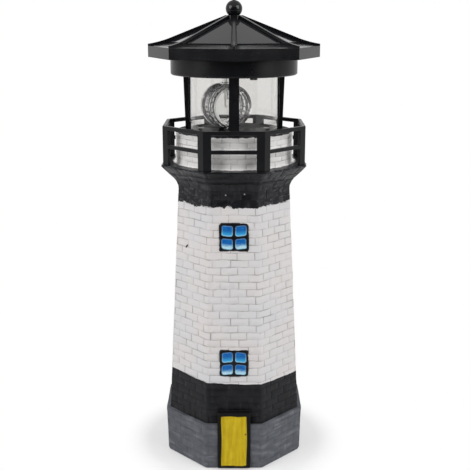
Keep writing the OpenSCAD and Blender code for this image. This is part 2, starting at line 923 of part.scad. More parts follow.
module board_parts() {
    color("#303338")
        translate([0, 0, z_board + board_t]) {
            translate([chip_x, -board_edge - chip_in]) cube([chip_l, chip_w, chip_h]);
            translate([capacitor_x, -board_edge - capacitor_in])
                cylinder(h = capacitor_h, d = capacitor_d);
            translate([coil_x, -board_edge - coil_in]) cylinder(h = coil_h, d = coil_d);
            for (i = [0, 1])
                translate([resistor_x + i * resistor_pitch, -board_edge - resistor_in])
                    cube([resistor_l, resistor_w, resistor_h]);
        }
}

module board_screws() {
    color("silver")
        for (p = board_posts)
            translate([p[0], p[1], z_board + board_t])
                screw(board_screw_head_d, board_screw_head_h, screw_d, board_screw_l);
}

module switch_body() {
    slot_l = knob_w + knob_travel + 2 * side_gap;
    color("#2b2d30")
        switch_frame()
            difference() {
                translate([knob_travel / 2 - switch_len / 2, -switch_deep / 2, z_floor])
                    cube([switch_len, switch_deep, switch_h]);
                translate([-knob_w / 2 - side_gap, -knob_deep / 2 - side_gap, z_floor - cut])
                    cube([slot_l, knob_deep + 2 * side_gap, switch_h - 1.2 + cut]);
            }
}

module switch_knob() {
    low = z_collar - knob_drop;
    color("#17181a")
        switch_frame()
            translate([-knob_w / 2, -knob_deep / 2, low])
                cube([knob_w, knob_deep, z_floor + switch_h - 1.2 - side_gap - low]);
}

// ---- Cell and its holder ---------------------------------------------------

module cell_holder() {
    out_l = holder_in_l + 2 * holder_t;
    out_w = holder_in_w + 2 * holder_t;
    color("#222427")
        difference() {
            translate([-out_l / 2, cell_y - out_w / 2, z_floor]) cube([out_l, out_w, holder_h]);
            translate([-holder_in_l / 2, cell_y - holder_in_w / 2, cell_seat])
                cube([holder_in_l, holder_in_w, holder_h]);
            translate([-cell_l / 4, cell_y - out_w / 2 - cut, cell_seat + 2])
                cube([cell_l / 2, out_w + 2 * cut, holder_h]);
        }
}

module rechargeable_cell() {
    start = -holder_in_l / 2 + contact_t + 0.2;
    color("forestgreen")
        translate([start, cell_y, cell_z])
            rotate([0, 90, 0]) {
                cylinder(h = cell_l, d = cell_d);
                translate([0, 0, cell_l - 0.1]) cylinder(h = button_l + 0.1, d = button_d);
            }
}

// Contact plate with a lug that stands over the holder's end wall
module contact_plate(side) {
    wide = cell_d * 0.6;
    x = side * (holder_in_l / 2 - contact_t / 2);
    tall = holder_h - holder_t + 0.6;
    translate([x - contact_t / 2, cell_y - wide / 2, cell_seat]) cube([contact_t, wide, tall]);
    translate([x - contact_t / 2 + side * contact_t / 2, cell_y - 1.5, cell_seat + tall - contact_t])
        translate([side > 0 ? 0 : -1.4, 0, 0]) cube([contact_t + 1.4, 3, contact_t]);
}

module plus_contact() {
    color("gold") contact_plate(1);
}

module minus_contact() {
    color("gold") contact_plate(-1);
}

// ---- Roof ------------------------------------------------------------------

module lid_gasket() {
    color("#4a4a4a") ring(collar_in + side_gap, collar_d / 2 - 0.3, z_rim, z_seat);
}

module roof_outer() {
    rotate([0, 0, half_corner])
        octagon_solid([
            [roof_flat, z_brim],
            [roof_flat, z_eave],
            [facet_w / 2, z_facet],
            [landing_d / 4, z_apex - facet_slope * landing_d / 4]
        ]);
}

module roof_inner() {
    strip = (inner_apex - inner_eave - 0.6) / facet_slope;
    rotate([0, 0, half_corner])
        octagon_solid([
            [roof_flat - roof_t, z_brim - cut],
            [roof_flat - roof_t, inner_eave],
            [strip, inner_eave + 0.6],
            [landing_d / 2, inner_apex - facet_slope * landing_d / 2]
        ]);
}

// Height of a rib's crest at a radius: straight slope, then a flare that levels
// off towards the corner of the brim, as a bell-cast roof does
function rib_crest(r) =
    let (
        straight = rib_apex - rib_slope * r,
        start = rib_apex - rib_slope * rib_flare_r,
        run = roof_w / 2 - rib_flare_r,
        drop = start - z_eave - rib_tip_h,
        s = (r - rib_flare_r) / run,
        lead = rib_slope * run
    )
    r <= rib_flare_r ? straight : start - lead * s - (drop - lead) * s * s;

// A rib starts inside the landing, level, and runs past the corner to be trimmed there
module rib() {
    foot = z_eave - 1;
    start = landing_d / 4;
    past = roof_w / 2 + cut;
    crest = [
        for (i = [0:rib_steps])
            let (r = rib_flare_r + (past - rib_flare_r) * i / rib_steps)
                [r, rib_crest(r)]
    ];
    intersection() {
        rotate([90, 0, 0])
            linear_extrude(height = rib_top_t + 1, center = true)
                polygon(concat(
                    [[start, foot], [start, z_rib_head], [landing_d / 2, z_rib_head]],
                    crest,
                    [[past, foot]]
                ));
        translate([0, 0, foot - cut])
            linear_extrude(height = rib_apex - foot + 2 * cut)
                polygon([
                    [0, rib_top_t / 2], [past, rib_eave_t / 2],
                    [past, -rib_eave_t / 2], [0, -rib_top_t / 2]
                ]);
    }
}

// One panel, lying in a facet: a triangle with its point towards the neck
module panel_blank(grow, depth, above) {
    edge = facet_w / 2 / cos(facet_tilt);
    wide = facet_w / 2 * tan(half_corner);
    margin = 2.6 - grow;
    top = landing_d / 2 + 2 - grow;
    translate([0, 0, z_apex])
        rotate([facet_tilt, 0, 0])
            translate([0, 0, -depth])
                linear_extrude(height = depth + above)
                    polygon([
                        [-(wide * top / edge - margin / 2), -top],
                        [-(wide - margin), -edge + margin / 2],
                        [wide - margin, -edge + margin / 2],
                        [wide * top / edge - margin / 2, -top]
                    ]);
}

module on_facets() {
    for (i = [0:7]) rotate([0, 0, half_corner + 45 * i]) children();
}

module roof_ribs() {
    intersection() {
        for (i = [0:7]) rotate([0, 0, 45 * i]) rib();
        rotate([0, 0, half_corner]) octagon_prism(roof_flat, z_eave - 2, rib_apex);
    }
    low = z_apex - facet_slope * landing_d;
    translate([0, 0, low]) cylinder(h = z_landing - low, d = landing_d);
}

module roof_shell() {
    color("#1b1d20")
        difference() {
            union() {
                difference() {
                    union() {
                        roof_outer();
                        roof_ribs();
                    }
                    difference() {
                        roof_inner();
                        rotate([0, 0, half_corner]) ring(skirt_in, collar_d / 2, z_seat, z_apex);
                    }
                }
                rotate([0, 0, half_corner]) ring(skirt_in, skirt_out, z_rim - skirt_l, z_seat + 1);
            }
            on_facets() panel_blank(0.15, panel_t, cut);
            translate([0, 0, z_landing - spigot_l - side_gap])
                cylinder(h = spigot_l + side_gap + cut, d = spigot_d + 0.1);
        }
}

module solar_panels() {
    color("#2a2d33") on_facets() panel_blank(0, panel_t, 0);
}

module finial_ball() {
    color("#1b1d20") {
        difference() {
            translate([0, 0, ball_z]) sphere(d = ball_d);
            translate([0, 0, z_landing - ball_d]) cylinder(h = ball_d, d = ball_d);
        }
        translate([0, 0, ball_z]) cylinder(h = ball_d / 2 + tip_h, d = tip_d);
        translate([0, 0, z_landing - spigot_l]) cylinder(h = spigot_l + 2, d = spigot_d);
    }
}

tower_casting();
pour_plug();
gallery_railing();
lantern_cage();
glazing_tube();
lens_foot_plate();
foot_plate_screws();
lens_pivot();
lens_drum();
front_lens();
rear_lens();
beacon_gear();
motor_pinion();
motor_shaft();
geared_motor();
drive_plate();
drive_plate_screws();
lamp_tube();
beacon_led();
circuit_board();
board_parts();
board_screws();
switch_body();
switch_knob();
cell_holder();
rechargeable_cell();
plus_contact();
minus_contact();
lid_gasket();
roof_shell();
solar_panels();
finial_ball();
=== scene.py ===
"""The looks of a garden lighthouse ornament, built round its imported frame.

Lengths are in millimetres and go into the meshes in metres; only the soft boxes,
the floor and the dark card are given in metres. Front is -Y, up is +Z.
"""

import math

import bmesh
import bpy
import numpy as np
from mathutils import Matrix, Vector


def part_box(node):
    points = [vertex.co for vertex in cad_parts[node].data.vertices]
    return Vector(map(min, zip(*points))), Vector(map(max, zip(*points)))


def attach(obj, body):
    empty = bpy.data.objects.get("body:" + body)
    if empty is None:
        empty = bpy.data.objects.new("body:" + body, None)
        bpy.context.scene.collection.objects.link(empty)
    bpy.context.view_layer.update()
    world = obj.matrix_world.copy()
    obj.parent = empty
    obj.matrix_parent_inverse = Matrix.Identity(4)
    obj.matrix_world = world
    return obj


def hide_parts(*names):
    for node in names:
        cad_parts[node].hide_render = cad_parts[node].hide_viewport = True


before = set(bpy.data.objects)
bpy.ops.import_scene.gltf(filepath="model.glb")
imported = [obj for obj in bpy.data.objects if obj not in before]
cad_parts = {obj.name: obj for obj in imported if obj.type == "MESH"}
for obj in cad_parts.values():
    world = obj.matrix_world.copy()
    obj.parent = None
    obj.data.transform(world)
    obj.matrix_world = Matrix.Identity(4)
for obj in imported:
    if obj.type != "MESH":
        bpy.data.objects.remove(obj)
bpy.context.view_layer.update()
MM = 0.001

# ---- Camera and studio ----------------------------------------------------
# The camera stands in front, a little above the roof, and looks down on the
# ornament. A pale floor, a white room, two soft boxes, and a dark card behind
# the camera, which black gloss needs to look black.

CAMERA_AWAY = 661.1
CAMERA_HIGH = 350.1
CAMERA_PITCH = 14.61
CAMERA_LENS = 65.2
CAMERA_SENSOR = 36.0
CAMERA_SHIFT = 1 / 470  # one pixel of the frame


def stand_camera():
    data = bpy.data.cameras.new("camera")
    data.sensor_width = CAMERA_SENSOR
    data.lens = CAMERA_LENS
    data.shift_x = CAMERA_SHIFT
    data.clip_start = 0.01
    camera = bpy.data.objects.new("camera", data)
    camera.location = (0, -CAMERA_AWAY * MM, CAMERA_HIGH * MM)
    camera.rotation_euler = (math.radians(90 - CAMERA_PITCH), 0, 0)
    bpy.context.scene.collection.objects.link(camera)
    bpy.context.scene.camera = camera


def soft_box(name, place, aim, size, power):
    """A square area lamp, size in metres, turned from its place towards aim."""
    data = bpy.data.lights.new(name, "AREA")
    data.shape = "SQUARE"
    data.size = size
    data.energy = power
    lamp = bpy.data.objects.new(name, data)
    lamp.location = place
    way = np.array(aim) - np.array(place)
    lamp.rotation_euler = (
        math.acos(-way[2] / np.linalg.norm(way)),
        0,
        math.atan2(way[0], -way[1]) + math.pi,
    )
    bpy.context.scene.collection.objects.link(lamp)


def flat_card(name, corners, material):
    mesh = bpy.data.meshes.new(name)
    mesh.from_pydata(corners, [], [(0, 1, 2, 3)])
    mesh.materials.append(material)
    card = bpy.data.objects.new(name, mesh)
    bpy.context.scene.collection.objects.link(card)
    return card


class Value:
    """A number on the shader side. Arithmetic on it adds Math nodes to its tree."""

    def __init__(self, tree, socket):
        self.tree = tree
        self.socket = socket

    def math(self, operation, *others):
        made = self.tree.nodes.new("ShaderNodeMath")
        made.operation = operation
        for slot, other in zip(made.inputs, (self, *others)):
            if isinstance(other, Value):
                self.tree.links.new(other.socket, slot)
            else:
                slot.default_value = other
        return Value(self.tree, made.outputs[0])

    def swapped(self, operation, other):
        """The same with the plain number first."""
        made = self.tree.nodes.new("ShaderNodeMath")
        made.operation = operation
        made.inputs[0].default_value = other
        self.tree.links.new(self.socket, made.inputs[1])
        return Value(self.tree, made.outputs[0])

    def __add__(self, other):
        return self.math("ADD", other)

    __radd__ = __add__

    def __sub__(self, other):
        return self.math("SUBTRACT", other)

    def __rsub__(self, other):
        return self.swapped("SUBTRACT", other)

    def __mul__(self, other):
        return self.math("MULTIPLY", other)

    __rmul__ = __mul__

    def high(self, other):
        return self.math("MAXIMUM", other)

    def low(self, other):
        return self.math("MINIMUM", other)

    def size(self):
        return self.math("ABSOLUTE")

    def root(self):
        return self.math("SQRT")

    def step(self, start, end):
        """0 below start, 1 above end, a smooth ramp between them."""
        made = self.tree.nodes.new("ShaderNodeMapRange")
        made.interpolation_type = "SMOOTHSTEP"
        self.tree.links.new(self.socket, made.inputs["Value"])
        made.inputs["From Min"].default_value = start
        made.inputs["From Max"].default_value = end
        return Value(self.tree, made.outputs["Result"])


class Finish:
    """One finish: a material, its shader, and the nodes that vary it over a surface."""

    def __init__(self, name, colour, roughness, **sockets):
        self.material = bpy.data.materials.new(name)
        self.material.use_nodes = True
        self.tree = self.material.node_tree
        self.shader = self.tree.nodes["Principled BSDF"]
        self.shader.inputs["Base Color"].default_value = (*colour, 1)
        self.shader.inputs["Roughness"].default_value = roughness
        for socket, value in sockets.items():
            self.shader.inputs[socket.replace("_", " ")].default_value = value

    def node(self, kind, settings=None, **values):
        """Adds a node: its settings first, then its sockets' values or links."""
        made = self.tree.nodes.new(kind)
        for key, value in (settings or {}).items():
            setattr(made, key, value)
        for key, value in values.items():
            slot = made.inputs[key.replace("_", " ")]
            if isinstance(value, Value):
                self.tree.links.new(value.socket, slot)
            elif hasattr(value, "is_linked"):
                self.tree.links.new(value, slot)
            else:
                slot.default_value = value
        return made

    def feed(self, socket, value):
        source = value.socket if isinstance(value, Value) else value
        self.tree.links.new(source, self.shader.inputs[socket])

    def place(self):
        """Object coordinates: metres in the ornament's own frame."""
        return self.node("ShaderNodeTexCoord").outputs["Object"]

    def axes(self):
        """X, Y and Z of the place, each in millimetres."""
        parts = self.node("ShaderNodeSeparateXYZ", Vector=self.place())
        return [Value(self.tree, parts.outputs[axis]) * 1000 for axis in "XYZ"]

    def marked(self, name):
        """A number stored on the piece's own points."""
        return Value(self.tree, self.node("ShaderNodeAttribute", {"attribute_name": name}).outputs["Fac"])

    def noise(self, grain, detail=3.0, stretch=(1, 1, 1)):
        """Noise around 0.5 whose patches are about grain millimetres across."""
        where = self.node("ShaderNodeMapping", Vector=self.place(), Scale=stretch).outputs[0]
        cloud = self.node("ShaderNodeTexNoise", Vector=where, Scale=1000 / grain, Detail=detail)
        return Value(self.tree, cloud.outputs["Fac"])

    def blend(self, share, first, second):
        """A colour between two, by a share from 0 to 1. Each is a colour or a link."""
        made = self.node("ShaderNodeMix", {"data_type": "RGBA"})
        self.tree.links.new(share.socket, made.inputs["Factor"])
        for index, colour in ((6, first), (7, second)):
            if isinstance(colour, tuple):
                made.inputs[index].default_value = (*colour, 1)
            else:
                self.tree.links.new(colour, made.inputs[index])
        return made.outputs[2]

    def relief(self, height, depth):
        """Bumps as deep as depth millimetres where height runs from 0 to 1."""
        made = self.node("ShaderNodeBump", Strength=1.0, Distance=depth * MM, Height=height)
        self.feed("Normal", made.outputs["Normal"])


ROOM_LIGHT = 0.66
BEHIND_FROM, BEHIND_FULL = 0.8, 0.95
SOFT_BOX_OUT, SOFT_BOX_FORWARD, SOFT_BOX_HIGH = 0.85, 0.6, 0.68
SOFT_BOX_AIM = (0, 0, 0.22)
SOFT_BOX_SIZE = 0.7
SOFT_BOX_POWER = 6.2


def light_studio():
    """The room is white to the camera and through clear plastic, dimmer as a light.
    Gloss sees it white only straight behind the ornament, which gives the thin
    bright edges on the roof's side facets."""
    world = bpy.data.worlds.new("studio")
    world.use_nodes = True
    tree = world.node_tree
    background = tree.nodes["Background"]
    rays = tree.nodes.new("ShaderNodeLightPath")
    seen = Value(tree, rays.outputs["Is Camera Ray"])
    seen = seen.high(Value(tree, rays.outputs["Is Transmission Ray"]))
    way = tree.nodes.new("ShaderNodeTexCoord")
    parts = tree.nodes.new("ShaderNodeSeparateXYZ")
    tree.links.new(way.outputs["Generated"], parts.inputs[0])
    behind = Value(tree, parts.outputs["Y"]).step(BEHIND_FROM, BEHIND_FULL)
    seen = seen.high(Value(tree, rays.outputs["Is Glossy Ray"]) * behind)
    strength = seen * (1 - ROOM_LIGHT) + ROOM_LIGHT
    background.inputs["Color"].default_value = (1, 1, 1, 1)
    tree.links.new(strength.socket, background.inputs["Strength"])
    bpy.context.scene.world = world
    bpy.context.scene.view_settings.view_transform = "Standard"
    for side in (-1, 1):
        place = (side * SOFT_BOX_OUT, -SOFT_BOX_FORWARD, SOFT_BOX_HIGH)
        soft_box(f"soft_box_{side}", place, SOFT_BOX_AIM, SOFT_BOX_SIZE, SOFT_BOX_POWER)


SHADOW_FROM, SHADOW_TO = 52, 95
SHADOW_SHARE = 0.4


def floor_paper():
    """White paper. Where the camera looks at it away from the foot it is as white
    as the room; near the foot the shadow stays."""
    paper = Finish("floor_paper", (0.93, 0.93, 0.93), 0.9)
    glow = paper.node("ShaderNodeEmission", Strength=1.0)
    x, y, _ = paper.axes()
    away = (x * x + y * y).root().step(SHADOW_FROM, SHADOW_TO).high(SHADOW_SHARE)
    rays = paper.node("ShaderNodeLightPath")
    seen = Value(paper.tree, rays.outputs["Is Camera Ray"])
    seen = seen.high(Value(paper.tree, rays.outputs["Is Transmission Ray"]))
    mixed = paper.node("ShaderNodeMixShader", Fac=away * seen)
    paper.tree.links.new(paper.shader.outputs[0], mixed.inputs[1])
    paper.tree.links.new(glow.outputs[0], mixed.inputs[2])
    paper.tree.links.new(mixed.outputs[0], paper.tree.nodes["Material Output"].inputs["Surface"])
    return paper


FLOOR_REACH = 3.0
CARD_HALF = 1.3
CARD_Y = -0.85
CARD_SPLIT = 0.33
CARD_TOP = 0.75

stand_camera()
light_studio()
floor_corners = [(x * FLOOR_REACH, y * FLOOR_REACH, 0) for x, y in ((-1, -1), (1, -1), (1, 1), (-1, 1))]
flat_card("floor", floor_corners, floor_paper().material)

# The dark card is in two parts, neither seen by the camera. Clear plastic doesn't
# show the low part, so that the lens stays bright from behind, and shows the high
# one, so that it isn't milky from the front.
felt = Finish("card_felt", (0.01, 0.01, 0.01), 0.95)
for name, low, high in (("low_card", 0.0, CARD_SPLIT), ("high_card", CARD_SPLIT, CARD_TOP)):
    edges = ((-CARD_HALF, low), (CARD_HALF, low), (CARD_HALF, high), (-CARD_HALF, high))
    card = flat_card(name, [(x, CARD_Y, z) for x, z in edges], felt.material)
    card.visible_camera = False
    card.visible_transmission = name == "high_card"

# ---- Tower casting ----------------------------------------------------------
# One hollow casting in resin, slush-cast in a rubber mould that carries the
# brick courses, then painted by hand: grey plinth, black band, white shaft,
# black corbel and gallery floor, white drum and black deck.

tower_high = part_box("tower_casting")[1]
Z_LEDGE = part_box("gallery_railing")[0][2] / MM
Z_DECK = tower_high[2] / MM
LEDGE_HALF = tower_high[0] / MM
PLINTH_FOOT = 54.2
PLINTH_TOP = 55.1
PLINTH_H = 38.3
SHAFT_FOOT = 52.2
SHAFT_NECK = 43.0
SHAFT_MEAN = 47.0
Z_NECK = 219.5
COVE_R = 12.0
LEDGE_LIP = 1.7
DRUM_R = 45.7
CAST_WALL = 5.0
POUR_R = 6.0
PLUG_SEAT_R = 10.0
PLUG_SEAT_Z = 2.2
DECK_T = 7.0
EDGE_SOFT = 0.7
COURSE = 5.72
DRUM_COURSES = 6
BRICKS_ROUND = 23
CORNER_PHASE = 0.25
JOINT_BED = 0.16
JOINT_EDGE = 0.5
JOINT_DEEP = 0.4
BAND_TOP = 71.5
CORBEL_PAINT = 210.3
LEFT_DRIP = (-6.2, 219.4)
RIGHT_DRIP = (7.8, 220.1)
CHIP_X, CHIP_Z = -36.4, 176.0
DOOR_POCKET_HALF = 11.5
DOOR_POCKET_TOP = 48
DOOR_POCKET_Y = 50
DOOR_POCKET_DEEP = 2.0
STEEP = math.tan(math.radians(22.5))


def outline_points():
    """The casting's side view as rows: half width, height, roundness, relief.

    It starts at the hollow's top on the axis, goes down the inside, out through
    the pouring hole, up the outside and in over the deck to the axis again.
    Roundness 0 is an octagon and 1 a circle; relief is the share of brickwork.
    """
    cove = [
        (SHAFT_NECK + COVE_R * (1 - math.cos(a)), Z_NECK + COVE_R * math.sin(a), 0, 1)
        for a in np.radians([0, 9, 18, 27, 36, 45])
    ]
    soft = EDGE_SOFT
    return [
        (0, Z_DECK - DECK_T, 0, 0),
        (SHAFT_NECK - CAST_WALL, Z_DECK - DECK_T, 0, 0),
        (SHAFT_NECK - CAST_WALL, Z_NECK, 0, 0),
        (SHAFT_FOOT - CAST_WALL, PLINTH_H, 0, 0),
        (SHAFT_FOOT - CAST_WALL, CAST_WALL, 0, 0),
        (POUR_R, CAST_WALL, 1, 0),
        (POUR_R, PLUG_SEAT_Z, 1, 0),
        (PLUG_SEAT_R, PLUG_SEAT_Z, 1, 0),
        (PLUG_SEAT_R, 0, 1, 0),
        (PLINTH_FOOT - 2.6, 0, 0, 0),
        (PLINTH_FOOT - 0.9, 0.6, 0, 0.3),
        (PLINTH_FOOT - 0.1, 2.2, 0, 0.8),
        (PLINTH_TOP - 0.05, PLINTH_H - soft, 0, 1),
        (PLINTH_TOP - soft * 0.3, PLINTH_H - soft * 0.25, 0, 0.4),
        (PLINTH_TOP - soft, PLINTH_H, 0, 0.1),
        (SHAFT_FOOT + 0.3, PLINTH_H, 0, 0),
        (SHAFT_FOOT - 0.05, PLINTH_H + 0.5, 0, 1),
        *cove,
        (LEDGE_HALF - 0.35, Z_LEDGE - LEDGE_LIP - 0.2, 0, 0.8),
        (LEDGE_HALF, Z_LEDGE - LEDGE_LIP + 0.5, 0, 0.2),
        (LEDGE_HALF - 0.1, Z_LEDGE - 0.3, 0, 0),
        (LEDGE_HALF - 0.6, Z_LEDGE, 0, 0),
        (DRUM_R + 3.5, Z_LEDGE, 0.5, 0),
        (DRUM_R + 0.1, Z_LEDGE + 0.1, 1, 0.2),
        (DRUM_R, Z_LEDGE + 0.6, 1, 1),
        (DRUM_R, Z_DECK - 0.9, 1, 1),
        (DRUM_R - 0.3, Z_DECK - 0.2, 1, 0.2),
        (DRUM_R - 1.0, Z_DECK, 1, 0),
        (DRUM_R - 12.0, Z_DECK, 1, 0),
        (0, Z_DECK, 1, 0),
    ]


def bed_joints(points, way):
    """How far along the side view each bed joint lies: by height on the plinth,
    the shaft and the drum, and at even steps round the cove and up the corbel.

    The numbers count outline_points' rows, where each face starts and ends.
    """
    foot, plinth_top, shaft_foot, neck = 11, 12, 16, 17
    cove_end, lip, drum_foot, drum_top = 22, 23, 29, 30

    def at(heights, first, last):
        return np.interp(heights, points[first : last + 1, 1], way[first : last + 1])

    plinth = at(np.arange(COURSE, PLINTH_H - 1, COURSE), foot, plinth_top)
    shaft = at(np.arange(PLINTH_H + COURSE, Z_NECK - 1, COURSE), shaft_foot, neck)
    middle = (way[cove_end] + way[lip]) / 2
    corbel = np.linspace(shaft[-1], middle, 4)[1:]
    drum_h = Z_DECK - Z_LEDGE
    drum = at(Z_LEDGE + drum_h * np.arange(1, DRUM_COURSES) / DRUM_COURSES, drum_foot, drum_top)
    return np.concatenate([plinth, shaft, corbel, drum])


def refined_rows(points):
    """Adds rows to the side view on both sides of each bed joint.

    Returns the rows, each with half width, height, roundness and relief, then
    its course number, and its share of a joint: 1 in the bed joint, 0 on bricks.
    """
    points = np.array(points, float)
    way = np.concatenate([[0], np.cumsum(np.hypot(*np.diff(points[:, :2], axis=0).T))])
    beds = bed_joints(points, way)
    added = np.concatenate([beds + d for d in (-JOINT_EDGE, -JOINT_BED, JOINT_BED, JOINT_EDGE)])
    along = np.unique(np.round(np.concatenate([way, added]), 3))
    rows = np.stack([np.interp(along, way, points[:, k]) for k in range(4)], axis=1)
    near = np.abs(along[:, None] - beds[None, :])
    joint = np.clip((JOINT_EDGE - near.min(1)) / (JOINT_EDGE - JOINT_BED), 0, 1)
    course = np.searchsorted(beds, along)
    return rows, course, joint


def facet_columns():
    """Columns round the tower in brick lengths: four at each possible joint, one
    between joints, and three at each corner. Returns place, joint number, offset."""
    brick = 2 * SHAFT_MEAN * STEEP * 8 / BRICKS_ROUND
    joints = np.arange(2 * BRICKS_ROUND) / 2
    offsets = np.array([-JOINT_EDGE, -JOINT_BED, JOINT_BED, JOINT_EDGE]) / brick
    place = (joints[:, None] + offsets[None, :]).ravel()
    number = np.repeat(np.arange(2 * BRICKS_ROUND), 4)
    offset = np.tile([0.0, 1.0, 1.0, 0.0], 2 * BRICKS_ROUND)
    middle = joints + 0.25
    corner = (np.arange(8) + 0.5) * BRICKS_ROUND / 8 + CORNER_PHASE
    corners = (corner[:, None] + np.array([-0.6, 0, 0.6])[None, :] / brick).ravel()
    extra = np.concatenate([middle, corners])
    place = np.concatenate([place, extra])
    number = np.concatenate([number, np.full(len(extra), -1)])
    offset = np.concatenate([offset, np.zeros(len(extra))])
    order = np.argsort(place)
    return place[order], number[order], offset[order]


def section(share, roundness, half):
    """A point round the tower and the way outwards there.

    share runs from 0 to 1 once round, from the middle of the front facet towards
    +X. The octagon is walked at even speed along its sides, with each corner
    drawn in a little, the circle at even angles, and roundness blends the two.
    """
    facet = np.floor(share * 8 + 0.5)
    across = (share * 8 - facet) * 2
    turn = facet * math.pi / 4
    side = across * STEEP
    draw = 1 - 0.006 * np.clip((np.abs(across) - 0.94) / 0.06, 0, 1) ** 2
    octagon = np.stack(
        [side * np.cos(turn) + np.sin(turn), side * np.sin(turn) - np.cos(turn)], -1
    ) * draw[..., None]
    angle = share * 2 * math.pi
    circle = np.stack([np.sin(angle), -np.cos(angle)], -1)
    blend = roundness[..., None]
    where = (octagon * (1 - blend) + circle * blend) * half[..., None]
    lean = turn + np.sign(across) * np.clip((np.abs(across) - 0.97) / 0.03, 0, 1) * math.pi / 8
    out_octagon = np.stack([np.sin(lean), -np.cos(lean)], -1)
    out = out_octagon * (1 - blend) + circle * blend
    return where, out


def mark_points(mesh, marks):
    """Stores numbers on the points, for the finish to read."""
    for mark, values in marks.items():
        layer = mesh.attributes.new(mark, "FLOAT", "POINT")
        layer.data.foreach_set("value", values.ravel().astype(np.float32))


def ring_mesh(name, grid, marks):
    """A closed mesh from a grid of rows by columns that closes on itself sideways,
    and whose first and last row each shrink to one point."""
    rows, columns = grid.shape[:2]
    index = np.arange(rows * columns).reshape(rows, columns)
    beside = np.roll(index, -1, axis=1)
    quads = np.stack([index[:-1], beside[:-1], beside[1:], index[1:]], -1).reshape(-1, 4)
    mesh = bpy.data.meshes.new(name)
    mesh.from_pydata(grid.reshape(-1, 3) * MM, [], quads.tolist())
    mark_points(mesh, marks)
    return finish_mesh(mesh, name)


def finish_mesh(mesh, name, smooth=38):
    """Merges doubled points, drops bare edges, points the faces outwards, shades
    smooth below that many degrees, and links the object."""
    shape = bmesh.new()
    shape.from_mesh(mesh)
    bmesh.ops.remove_doubles(shape, verts=shape.verts, dist=2e-6)
    bmesh.ops.delete(shape, geom=[e for e in shape.edges if not e.link_faces], context="EDGES")
    bmesh.ops.recalc_face_normals(shape, faces=shape.faces)
    if shape.calc_volume(signed=True) < 0:
        bmesh.ops.reverse_faces(shape, faces=shape.faces)
    shape.to_mesh(mesh)
    shape.free()
    mesh.polygons.foreach_set("use_smooth", np.ones(len(mesh.polygons), bool))
    mesh.set_sharp_from_angle(angle=math.radians(smooth))
    piece = bpy.data.objects.new(name, mesh)
    bpy.context.scene.collection.objects.link(piece)
    return piece


def cast_tower():
    """The casting: its side view carried round the octagon, with brick relief.

    Each point is moved inwards, square to the surface, by the deeper of the bed
    joint and the upright joint there, by a small step of its own brick, and by
    slow waves such as a hand-made mould has. It also wanders along the surface,
    so that the joints aren't ruled. Behind the door the wall sinks out of sight.
    """
    dice = np.random.default_rng(4)
    rows, course, bed = refined_rows(outline_points())
    place, number, upright = facet_columns()
    wall = (course.max() + 2, 2 * BRICKS_ROUND + 1)
    shove = dice.uniform(-0.075, 0.075, wall)
    step = dice.uniform(0, 0.16, wall)
    bed_share = dice.uniform(0.35, 1.0, wall)
    upright_share = dice.uniform(0.45, 1.0, wall)
    here = (number[None, :] >= 0) & ((number[None, :] + course[:, None]) % 2 == 0)
    moved = place[None, :] + np.where(here, shove[course[:, None], number[None, :]], 0)
    share = (moved - CORNER_PHASE) / BRICKS_ROUND
    spread = np.repeat(rows[:, :, None], len(place), 2)
    half, height, roundness, relief = (spread[:, k] for k in range(4))
    where, out = section(share, roundness, half)
    slope = np.gradient(rows[:, :2], axis=0)
    slope /= np.maximum(np.hypot(slope[:, 0], slope[:, 1]), 1e-9)[:, None]
    outwards, upwards = slope[:, 1][:, None], -slope[:, 0][:, None]
    brick = np.floor(place[None, :] - 0.5 * (course[:, None] % 2)).astype(int) % (2 * BRICKS_ROUND)
    beds = bed[:, None] * bed_share[course[:, None], brick]
    uprights = upright[None, :] * upright_share[course[:, None], number[None, :]]
    mortar = np.maximum(beds, np.where(here, uprights, 0))
    sunk = JOINT_DEEP * mortar + step[course[:, None], brick] * (1 - mortar)
    turn = share * 2 * math.pi
    wave = 0.10 * np.sin(5 * turn + height * 0.11) + 0.08 * np.sin(11 * turn - height * 0.23 + 1)
    sunk = (sunk + 0.12 + wave * 0.6) * relief
    on_lip = (height > Z_LEDGE - 2.6) & (height < Z_LEDGE - 0.1) & (half > LEDGE_HALF - 3)
    chewed = 0.22 * np.sin(17 * turn + 1) + 0.16 * np.sin(37 * turn + height) + 0.12 * np.sin(71 * turn)
    sunk = sunk + on_lip * (0.35 + chewed)
    in_front = (np.abs(where[..., 0]) < DOOR_POCKET_HALF) & (where[..., 1] < -DOOR_POCKET_Y)
    behind_door = in_front & (height < DOOR_POCKET_TOP) & (height > 1)
    sunk = np.where(behind_door, DOOR_POCKET_DEEP, sunk)
    wander = (
        0.17 * np.sin(7 * turn + height * 0.35)
        + 0.13 * np.sin(13 * turn - height * 0.8 + 1)
        + 0.09 * np.sin(29 * turn + height * 1.1 + 2)
    ) * relief
    grid = np.empty((*half.shape, 3))
    grid[..., :2] = where - out * (sunk * outwards + wander * upwards)[..., None]
    grid[..., 2] = height - sunk * upwards + wander * outwards
    return ring_mesh("painted_tower", grid, {"mortar": mortar * relief})


